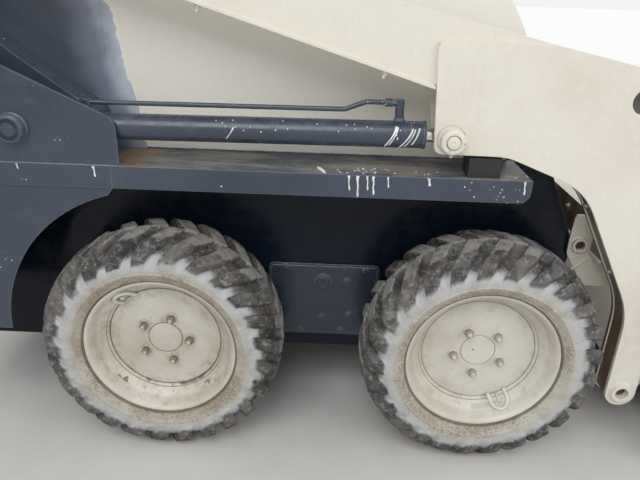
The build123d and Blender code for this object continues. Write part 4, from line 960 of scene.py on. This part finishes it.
def boom_fittings():
    build = Build()
    for x in (-250, 136, 570):
        foot = (x, 588, flange_z(x) + 1)
        build.lathe([(0, 9), (-3, 9), (-3.4, 7.4), (-9, 7.4), (-10, 5)], foot, FLANGE_NORMAL, 6)
        build.lathe([(-8, 3.8), (-17, 3.6), (-18, 2.6)], foot, FLANGE_NORMAL, 10)
    build.weld([(684, 593, 1152), (688, 593, 1056)], 3)
    build.weld([(690, 593, 1046), (-290, 593, flange_z(-290) + 8)], 2.4, 9)
    build.weld([(684, 531, 1156), (950, 531, 1150)], 2.6, 9)
    x, z = GUSSET_EYE
    for face, rows in (
        (GUSSET_FACE - 0.5, [(0, 27), (2, 26.4), (4, 22.4), (4, 20), (0, 20)]),
        (GUSSET_FACE, [(8, 22), (10.8, 21.4), (11, 15), (9, 14)]),
    ):
        build.lathe(rows, (x, face, z), count=40, loop=True)
    for height in (582, 678):
        build.weld([(CROSS_TUBE_X, GUSSET_FACE + 1, height), (CROSS_TUBE_X, 519, height)], 4)
    build.weld([(1206, GUSSET_FACE + 1, 560), (1146, GUSSET_FACE + 1, 506)], 3)
    x, z = HINGE
    for face, rows in (
        (CHEEK_FACE - 1, [(0, 35), (2.5, 34), (5, 29.4), (5, 24), (0, 24)]),
        (CHEEK_FACE, [(7, 18.4), (9, 19.5), (9, 26.5), (7, 28.6)]),
    ):
        build.lathe(rows, (x, face, z), loop=True)
    build.both().piece("boom_fittings", "boom", "cream_paint")
    build = Build()
    x, z = GUSSET_EYE
    build.lathe([(0, 13.6), (5, 13.6), (6, 11), (6, 0.4)], (x, GUSSET_FACE - 8, z), count=30)
    build.both().piece("gusset_pins", "boom", "cream_paint", RUSTED)
    build = Build()
    for spot in (LEG_BOLT, LEG_BOLT + LEG_UP * LEG_BOLT_STEP):
        build.lathe([(0, 12), (2, 12), (2.4, 8.4), (9, 8.4), (10.4, 7), (10.4, 0.4)], spot, LEG_BACK, 6)
    build.lathe([(0, 16), (2, 16), (2.4, 11), (10, 11), (11.4, 9), (11.4, 0.4)], TUBE_BOLT, (-1, 0, 0), 6)
    build.both().piece("leg_bolts", "boom", "bare_steel", BRIGHT)


def hinge_pins():
    """The bucket's pins, sunk in the bosses at the foot of the boom."""
    build = Build()
    x, z = HINGE
    build.lathe([(0, 17), (2, 16.6), (3, 15), (3, 6), (1, 5), (1, 0.4)], (x, 590, z), count=32)
    build.both().piece("bucket_pins", "bucket", "bare_steel", RUSTED)


chain_cover()
hull_fittings()
shelf_welds()
lip_runs()
barrel_runs()
for side_name in SIDES:
    lift_fittings(side_name)
tower_fittings()
boom_fittings()
hinge_pins()


# Seat: two pads blown up by a cloth simulation, then grooved by their seams

CUSHION = rounded([(52, 730, 18), (488, 730, 22), (488, 800, 34), (52, 796, 24)])
BACKREST = rounded([(-30, 735, 14), (28, 735, 14), (28, 838, 20), (-20, 1278, 36), (-88, 1278, 36)])
PAD_HALF = 222
PAD_SWELL = 14
CHANNEL_W = 5.5
SIDE_SEAMS = (-150, 150)


def bake(made):
    """Turns an object's modifiers into its mesh."""
    graph = bpy.context.evaluated_depsgraph_get()
    made.data = bpy.data.meshes.new_from_object(made.evaluated_get(graph))
    made.modifiers.clear()


def blow_up(made):
    """Lets pressure swell the pad as cloth, up to a limit."""
    start = [vertex.co.copy() for vertex in made.data.vertices]
    cloth = made.modifiers.new("cloth", "CLOTH")
    cloth.settings.use_pressure = True
    cloth.settings.uniform_pressure_force = 4
    cloth.settings.effector_weights.gravity = 0
    for frame_number in range(1, 21):
        bpy.context.scene.frame_set(frame_number)
    bake(made)
    bpy.context.scene.frame_set(1)
    for vertex, point in zip(made.data.vertices, start):
        move = vertex.co - point
        if move.length > PAD_SWELL * MM:
            vertex.co = point + move.normalized() * PAD_SWELL * MM


def pad(name, node, outline, channels, along):
    """A crowned pad over an X, Z outline, with grooves across it at places along a direction."""
    build = Build()
    rows = [(-PAD_HALF, 14), (-PAD_HALF + 5, 6), (-PAD_HALF + 14, 0)]
    rows += [(-PAD_HALF + 14 + step * (2 * PAD_HALF - 28) / 8, 0) for step in range(1, 8)]
    rows += [(PAD_HALF - 14, 0), (PAD_HALF - 5, 6), (PAD_HALF, 14)]
    middle = sum(outline, Vector((0, 0))) / len(outline)
    rings = []
    for y, inset in rows:
        inward = [(point + (middle - point).normalized() * inset) for point in outline]
        rings.append([Vector((point.x, y, point.y)) for point in inward])
    build.skin(rings)
    made = build.piece(name, CHASSIS, "seat_vinyl", replaces=(node,))
    made.modifiers.new("remesh", "REMESH").voxel_size = 0.009
    bake(made)
    blow_up(made)
    made.modifiers.new("smooth", "SUBSURF").levels = 1
    bake(made)
    ahead = Vector((along[0], 0, along[1]))
    front = Vector((-along[1], 0, along[0]))
    low, high = node_box(node)
    facing = [vertex.normal.dot(front) for vertex in made.data.vertices]
    for vertex, face in zip(made.data.vertices, facing):
        spot = (vertex.co / MM) - Vector((ORIGIN_X, 0, 0))
        grooves = [(spot.dot(ahead) - place, 7) for place in channels]
        grooves += [(spot.y - seam, 6) for seam in SIDE_SEAMS]
        depth = sum(deep * exp(-(away / CHANNEL_W) ** 2) for away, deep in grooves)
        rest = (vertex.co / MM) - front * depth * max(0.0, face)
        for axis in range(3):
            rest[axis] = max(low[axis] - 6, min(high[axis] + 6, rest[axis]))
        vertex.co = rest * MM
    made.data.materials.clear()
    made.data.materials.append(FINISHES["seat_vinyl"].material)
    made.data.shade_smooth()


pad("seat_pad", "seat_cushion", CUSHION, (150, 250, 350), (1, 0))
pad("seat_back", "seat_backrest", BACKREST, (850, 950, 1050, 1150), (0.11, 0.99))


# Cab inside: levers with gaiters, pedals, floor, belt and bar sleeves

LEVER = (640, 375)
PEDALS_X = (548, 692)
FLOOR_RIB_Z = 421.4
HANDLE = (
    (860, 396, 1150), (812, 386, 1160), (800, 384, 1220), (742, 384, 1660), (748, 386, 1700),
    (765, 396, 1706),
)
BELT_HALF = 23
BELT_THICK = 2.4


def controls():
    build = Build()
    for fold in range(7):
        radius = 46 - fold * 4.2
        rows = [(0, radius), (3, radius + 3), (7, radius + 2), (10, radius - 4), (12, radius - 5)]
        build.lathe(rows, (*LEVER, 735 + fold * 12), "Z", 28)
    build.lathe([(0, 14), (3, 14.6), (214, 12.4), (215, 10)], (*LEVER, 812), "Z", 20)
    rows = [(0, 15), (4, 21), (10, 22.6)]
    for z in range(16, 73, 14):
        rows += [(z, 22.4), (z + 2, 20.2), (z + 4, 22.4)]
    build.lathe(rows + [(92, 21), (102, 18), (108, 11), (110, 3)], (*LEVER, 1020), "Z", 28)
    build.lathe([(0, 7), (7, 7), (8, 5)], (LEVER[0], LEVER[1] - 25, 1104), (0, -1, 0.2), 16)
    build.plate(box_outline((530, 710), (676, 735), 8), 352, 421.5, 3)
    for x in PEDALS_X:
        build.lathe([(0, 7), (4, 7), (5, 5)], (x, 362, 734), "Z", 6)
        build.lathe([(0, 11), (4, 11), (9, 9), (10, 6)], (x, 395, 734), "Z", 20)
    build.both().piece("control_levers", CHASSIS, "black_plastic", replaces=("controls",))


def cab_fittings():
    build = Build()
    for x in range(540, 1037, 62):
        build.lathe([(-320, 2.4), (320, 2.4)], (x, 0, FLOOR_RIB_Z), "Y", 8)
    for y in (150, 250):
        build.plate(box_outline((930, 940), (470, 600), 4), y - 38, y + 38, 1.5)
        build.weld([(940, y, 500), (1020, y, 440)], 8, 12)
    build.both().piece("cab_floor_ribs", CHASSIS, "slate_paint")
    build = Build()
    build.tube(HANDLE, 9, 12)
    build.both().piece("grab_handles", CHASSIS, "black_plastic")
    build = Build()
    for y in (-240, 240):
        belt = [(20, y, 800), (120, y * 0.96, 822), (220, y * 0.62, 826), (290, y * 0.3, 824)]
        corners = ((-BELT_HALF, 0), (BELT_HALF, 0), (BELT_HALF, BELT_THICK), (-BELT_HALF, BELT_THICK))
        build.skin([[Vector((x + out, py, z + up)) for out, up in corners] for x, py, z in belt])
    build.piece("seat_belt", CHASSIS, "black_plastic")
    build = Build()
    build.plate(box_outline((262, 318), (828, 842), 5), -34, 34, 2)
    build.piece("belt_buckle", CHASSIS, "bare_steel", BRIGHT)


def bar_sleeves():
    build = Build()
    rows = [(0, 17), (3, 21), (10, 23)] + [(20 + 12 * step, 23 - (step % 2) * 1.4) for step in range(14)]
    for low in (-250, 60):
        build.lathe(rows + [(182, 23), (188, 20), (190, 17)], (500, low, 1020), "Y", 24)
    build.piece("bar_sleeves", "seat_bar", "black_plastic")


LAMP_Y = 330
LENS_R = 48


def lamp_fittings():
    """Each lamp's ring, reflector and ribbed lens."""
    low, high = node_box("lamps")
    x, z = low.x - ORIGIN_X, (low.z + high.z) / 2
    build = Build()
    rows = [
        (0, 30), (0, 34), (22, 51.5), (44, 52.4), (46, 57), (60, 57), (61.5, 55), (61.5, 49), (58, 48),
        (50, 47),
    ]
    build.lathe(rows, (x, LAMP_Y, z), "X")
    build.both().piece("lamp_bodies", CHASSIS, "black_plastic", replaces=("lamps",))
    build = Build()
    turns = [step * 0.125 * pi / 2 for step in range(8, 0, -1)]
    rows = [(54, 48.2)] + [(54 + 9 * cos(turn), LENS_R * sin(turn)) for turn in turns] + [(63, 0.4)]
    build.lathe(rows, (x, LAMP_Y, z), "X", 40)
    for offset in range(-36, 37, 12):
        half = sqrt(46 ** 2 - offset ** 2) * 0.9
        rib = ((60, -half), (62.5, 0), (60, half))
        build.tube([(x + out, LAMP_Y + offset, z + up) for out, up in rib], 1.6, 6)
    build.both().piece("lamp_lenses", CHASSIS, "lamp_lens", REFLECTOR)


# Rear: louvre blades, latch and tail lamps, hood ribs and handle, tail pipe

DOOR_FACE = -760.0
LOUVRES = 11
LOUVRE_LOW, LOUVRE_PITCH = 455.0, (711 - 220 + 26) / 11
LOUVRE_ROWS = ((5, 26), (-1, 27), (-11, 8), (-9.6, 7), (1, 24))
LATCH_Y = -350
TAIL_LAMP_Y, TAIL_LAMP_Z = 560, (1000, 1090)


def rear_fittings():
    build = Build()
    for row in range(LOUVRES):
        z = LOUVRE_LOW + row * LOUVRE_PITCH
        rings = []
        for y, back in ((-302, 0.9), (-298, 0), (298, 0), (302, 0.9)):
            rings.append([Vector((DOOR_FACE + out, y, z + up)) for out, up in LOUVRE_ROWS])
            for point in rings[-1]:
                point.x += back * (DOOR_FACE - point.x)
        build.skin(rings)
    build.plate(box_outline((DOOR_FACE - 3, DOOR_FACE + 1), (1014, 1048), 2), -60, 60, 1)
    for y in (-388, 388):
        for z in (372, 560, 860, 1030):
            build.lathe([(0, 9), (-2, 9), (-2.4, 7), (-6, 7), (-7, 5)], (DOOR_FACE, y, z), "X", 6)
    build.piece("door_louvres", "rear_door", "slate_paint", sharp=30)
    build = Build()
    build.lathe([(0, 24), (-4, 24), (-6, 20), (-8, 12), (-8, 0.4)], (DOOR_FACE, LATCH_Y, 700), "X", 28)
    path = ((7, 700), (9, 690), (9, 640), (7, 628))
    build.tube([(DOOR_FACE - out, LATCH_Y, z) for out, z in path], [5, 6, 5, 4], 12)
    build.piece("door_latch", "rear_door", "black_plastic")
    for name, slot, finish, rows in (
        ("tail_lamp_rings", "black_plastic", None, [(0, 34), (-6, 34), (-9, 31), (-9, 27), (-6, 26)]),
        ("tail_lamps", "lamp_lens", RED_LENS, [(-5, 27), (-11, 25), (-14, 18), (-15, 8), (-15, 0.4)]),
    ):
        build = Build()
        for z in TAIL_LAMP_Z:
            build.lathe(rows, (DOOR_FACE, TAIL_LAMP_Y, z), "X", 32)
        build.both().piece(name, CHASSIS, slot, finish)


HOOD_TOP = ((-172.0, 1250.0), (-735.0, 1190.0))
PIPE_SPOT = (0, -300, 1100)


def hood_z(x):
    (front_x, front_z), (rear_x, rear_z) = HOOD_TOP
    return rear_z + (x - rear_x) * (front_z - rear_z) / (front_x - rear_x)


def hood_fittings():
    build = Build()
    for y in range(-300, 301, 100):
        build.tube([(x, y, hood_z(x) - 1.5) for x in (-640, -636, -420, -300, -296)], [2, 6, 6, 6, 2], 12)
    for row in range(8):
        x = -690 + row * 5
        build.tube([(x, -60 + row, hood_z(x) - 2), (x, 60 - row, hood_z(x) - 2)], 2.2, 6)
    build.piece("hood_ribs", "hood", "slate_paint")
    build = Build()
    foot_x = -715
    foot_z = hood_z(foot_x)
    half = [(foot_x, 58, foot_z), (foot_x - 2, 58, foot_z + 20), (foot_x - 3, 50, foot_z + 28)]
    build.tube([(x, -y, z) for x, y, z in half] + half[::-1], 6, 12)
    build.piece("hood_handle", "hood", "black_plastic")


def tail_pipe():
    build = Build()
    rows = [
        (-600, 25), (-600, 28), (-700, 28), (-704, 32), (-742, 32), (-745, 28.6), (-760, 28.4), (-764, 28),
        (-764, 25), (-700, 25),
    ]
    build.lathe(rows, PIPE_SPOT, "X", 40, loop=True)
    build.piece("tail_pipe", CHASSIS, "bare_steel", RUSTED, replaces=("exhaust",))


# Bucket: edge bolts, welds and ribs, and the pins and rings of the tilt cylinders

BUCKET_HALF = node_box("bucket_shell")[1].y
BUCKET_TOP = node_box("bucket_shell")[1].z
EDGE_Z = HINGE[1] - 200
COUPLER_PIN = (HINGE[0] + 70, HINGE[1] + 97)
TILT_FOOT = Vector((1306, 487, 900))


def bucket_fittings():
    x = HINGE[0]
    build = Build()
    for y in range(90, 631, 90):
        build.lathe([(0, 13), (3, 11.5), (4, 8), (4, 0.4)], (x + 690, y, EDGE_Z + 16), "Z", 20)
    build.both().piece("edge_bolts", "bucket", "bare_steel", BRIGHT)
    build = Build()
    inner, end = BUCKET_HALF - 12.5, BUCKET_HALF - 20
    build.weld([(x + 330, inner, EDGE_Z + 14), (x + 640, inner, EDGE_Z + 14)], 4, 9)
    build.weld([(x + 640, 20, EDGE_Z + 11), (x + 640, inner, EDGE_Z + 11)], 4, 9)
    build.tube([(x + 302, y, BUCKET_TOP - 8) for y in (0, 340, end)], 8, 14)
    build.weld([(x + 330, 10, BUCKET_TOP - 15), (x + 330, end, BUCKET_TOP - 15)], 3, 9)
    corners = ((332, 12), (356, 12), (350, 40), (318, 52))
    rib = [Vector((x + out, BUCKET_TOP - down)) for out, down in corners]
    for y in (420, 560):
        build.plate(rib, y - 5, y + 5, 1)
    build.both().piece("bucket_welds", "bucket", "bucket_paint")
    build = Build()
    x, z = COUPLER_PIN
    build.lathe([(0, 24), (3, 23), (4, 17), (6, 16.4), (6, 0.4)], (x, 450, z), (0, -1, 0), 28)
    build.both().piece("coupler_pins", "bucket", "cream_paint")


def tilt_fittings(side_name):
    """Rings and a port on a tilt cylinder, whose middle line leans from the boom to the coupler."""
    eye = Vector((COUPLER_PIN[0], TILT_FOOT.y, COUPLER_PIN[1]))
    axis = (eye - TILT_FOOT).normalized()
    end = (TILT_FOOT.z + 25 - node_box("tilt_barrel_l")[0].z) / -axis.z
    build = Build()
    ring = [(0, 24.6), (1, 26.6), (8, 26.6), (9, 24.6)]
    for place in (70, end - 62):
        build.lathe(ring, TILT_FOOT + axis * place, axis, 36, loop=True)
    out = Vector((-axis.z, 0, axis.x))
    build.lathe([(22, 10), (31, 10), (32, 8), (36, 7.6)], TILT_FOOT + axis * (end - 90), -out, 20)
    build.piece("tilt_rings_" + side_name, "tilt_barrel_" + side_name, "cream_paint", side=SIDES[side_name])


controls()
cab_fittings()
bar_sleeves()
lamp_fittings()
rear_fittings()
hood_fittings()
tail_pipe()
bucket_fittings()
for side_name in SIDES:
    tilt_fittings(side_name)


# Camera, light and floor

CAMERA_PLACE = (ORIGIN_X * MM + 0.453, -1.996, 1.260)
CAMERA_PITCH = radians(23.573)
CAMERA_YAW = radians(-0.998)
CAMERA_ROLL = radians(-1.8205)
LENS_MM = 32.70
SENSOR_MM = 36.0
FLOOR_SIZE = 60.0
FLOOR_FADE = (2.6, 7.0)
WORLD_LIGHT = 0.6
BACKDROP = 0.9


def put_in_scene(name, data, matrix=None):
    made = bpy.data.objects.new(name, data)
    if matrix:
        made.matrix_world = matrix
    bpy.context.scene.collection.objects.link(made)
    return made


def make_camera():
    pitch, yaw = CAMERA_PITCH, CAMERA_YAW
    ahead = Vector((sin(yaw) * cos(pitch), cos(yaw) * cos(pitch), -sin(pitch)))
    level = Vector((cos(yaw), -sin(yaw), 0))
    down = ahead.cross(level)
    right = cos(CAMERA_ROLL) * level + sin(CAMERA_ROLL) * down
    below = -sin(CAMERA_ROLL) * level + cos(CAMERA_ROLL) * down
    data = bpy.data.cameras.new("camera")
    data.lens = LENS_MM
    data.sensor_width = SENSOR_MM
    data.clip_end = 200
    turn = Matrix((right, -below, -ahead)).transposed().to_4x4()
    bpy.context.scene.camera = put_in_scene("camera", data, Matrix.Translation(CAMERA_PLACE) @ turn)


def make_floor():
    """A grey floor that fades to the pale backdrop, for the camera alone."""
    finish = Finish("floor", roughness=0.9)
    away = finish.node("VectorMath", "Value", {0: finish.place}, operation="LENGTH")
    far = away.ramp(*FLOOR_FADE) * finish.node("LightPath", "Is Camera Ray")
    tone = finish.mix(finish.noise(9, 3).ramp(0.2, 0.8), (0.60, 0.59, 0.57, 1), (0.64, 0.63, 0.61, 1))
    finish.colour(tone.under(far, (0, 0, 0, 1)))
    finish.set("Emission Color", (1, 1, 1, 1)).set("Emission Strength", far * BACKDROP)
    mesh = bpy.data.meshes.new("floor")
    corners = [(x * FLOOR_SIZE, y * FLOOR_SIZE, 0) for x, y in ((-1, -1), (1, -1), (1, 1), (-1, 1))]
    mesh.from_pydata(corners, [], [(0, 1, 2, 3)])
    mesh.materials.append(finish.material)
    put_in_scene("floor", mesh)


def make_light(name, place, aim_z, power, size):
    data = bpy.data.lights.new(name, "AREA")
    data.energy = power
    data.shape = "SQUARE"
    data.size = size
    turn = (Vector(place) - Z * aim_z).to_track_quat("Z", "Y").to_matrix().to_4x4()
    put_in_scene(name, data, Matrix.Translation(place) @ turn)


def make_world():
    """Soft light all round, and a paler backdrop for the camera and for gloss."""
    world = bpy.data.worlds.new("studio")
    world.use_nodes = True
    tree = world.node_tree
    background = tree.nodes["Background"]
    path, seen, strength = (tree.nodes.new("ShaderNode" + kind) for kind in ("LightPath", "Math", "MapRange"))
    seen.operation = "MAXIMUM"
    strength.inputs["To Min"].default_value = WORLD_LIGHT
    strength.inputs["To Max"].default_value = BACKDROP
    background.inputs["Color"].default_value = (1, 1, 1, 1)
    tree.links.new(path.outputs["Is Camera Ray"], seen.inputs[0])
    tree.links.new(path.outputs["Is Glossy Ray"], seen.inputs[1])
    tree.links.new(seen.outputs[0], strength.inputs["Value"])
    tree.links.new(strength.outputs["Result"], background.inputs["Strength"])
    bpy.context.scene.world = world


make_camera()
make_floor()
make_world()
make_light("key", (-1.5, -5.0, 5.5), 0.6, 205, 4.0)
make_light("fill", (4.0, -3.5, 3.0), 0.6, 75, 3.0)
make_light("back", (-1.0, 5.0, 4.5), 0.8, 130, 4.0)
bpy.context.scene.view_settings.view_transform = "Standard"
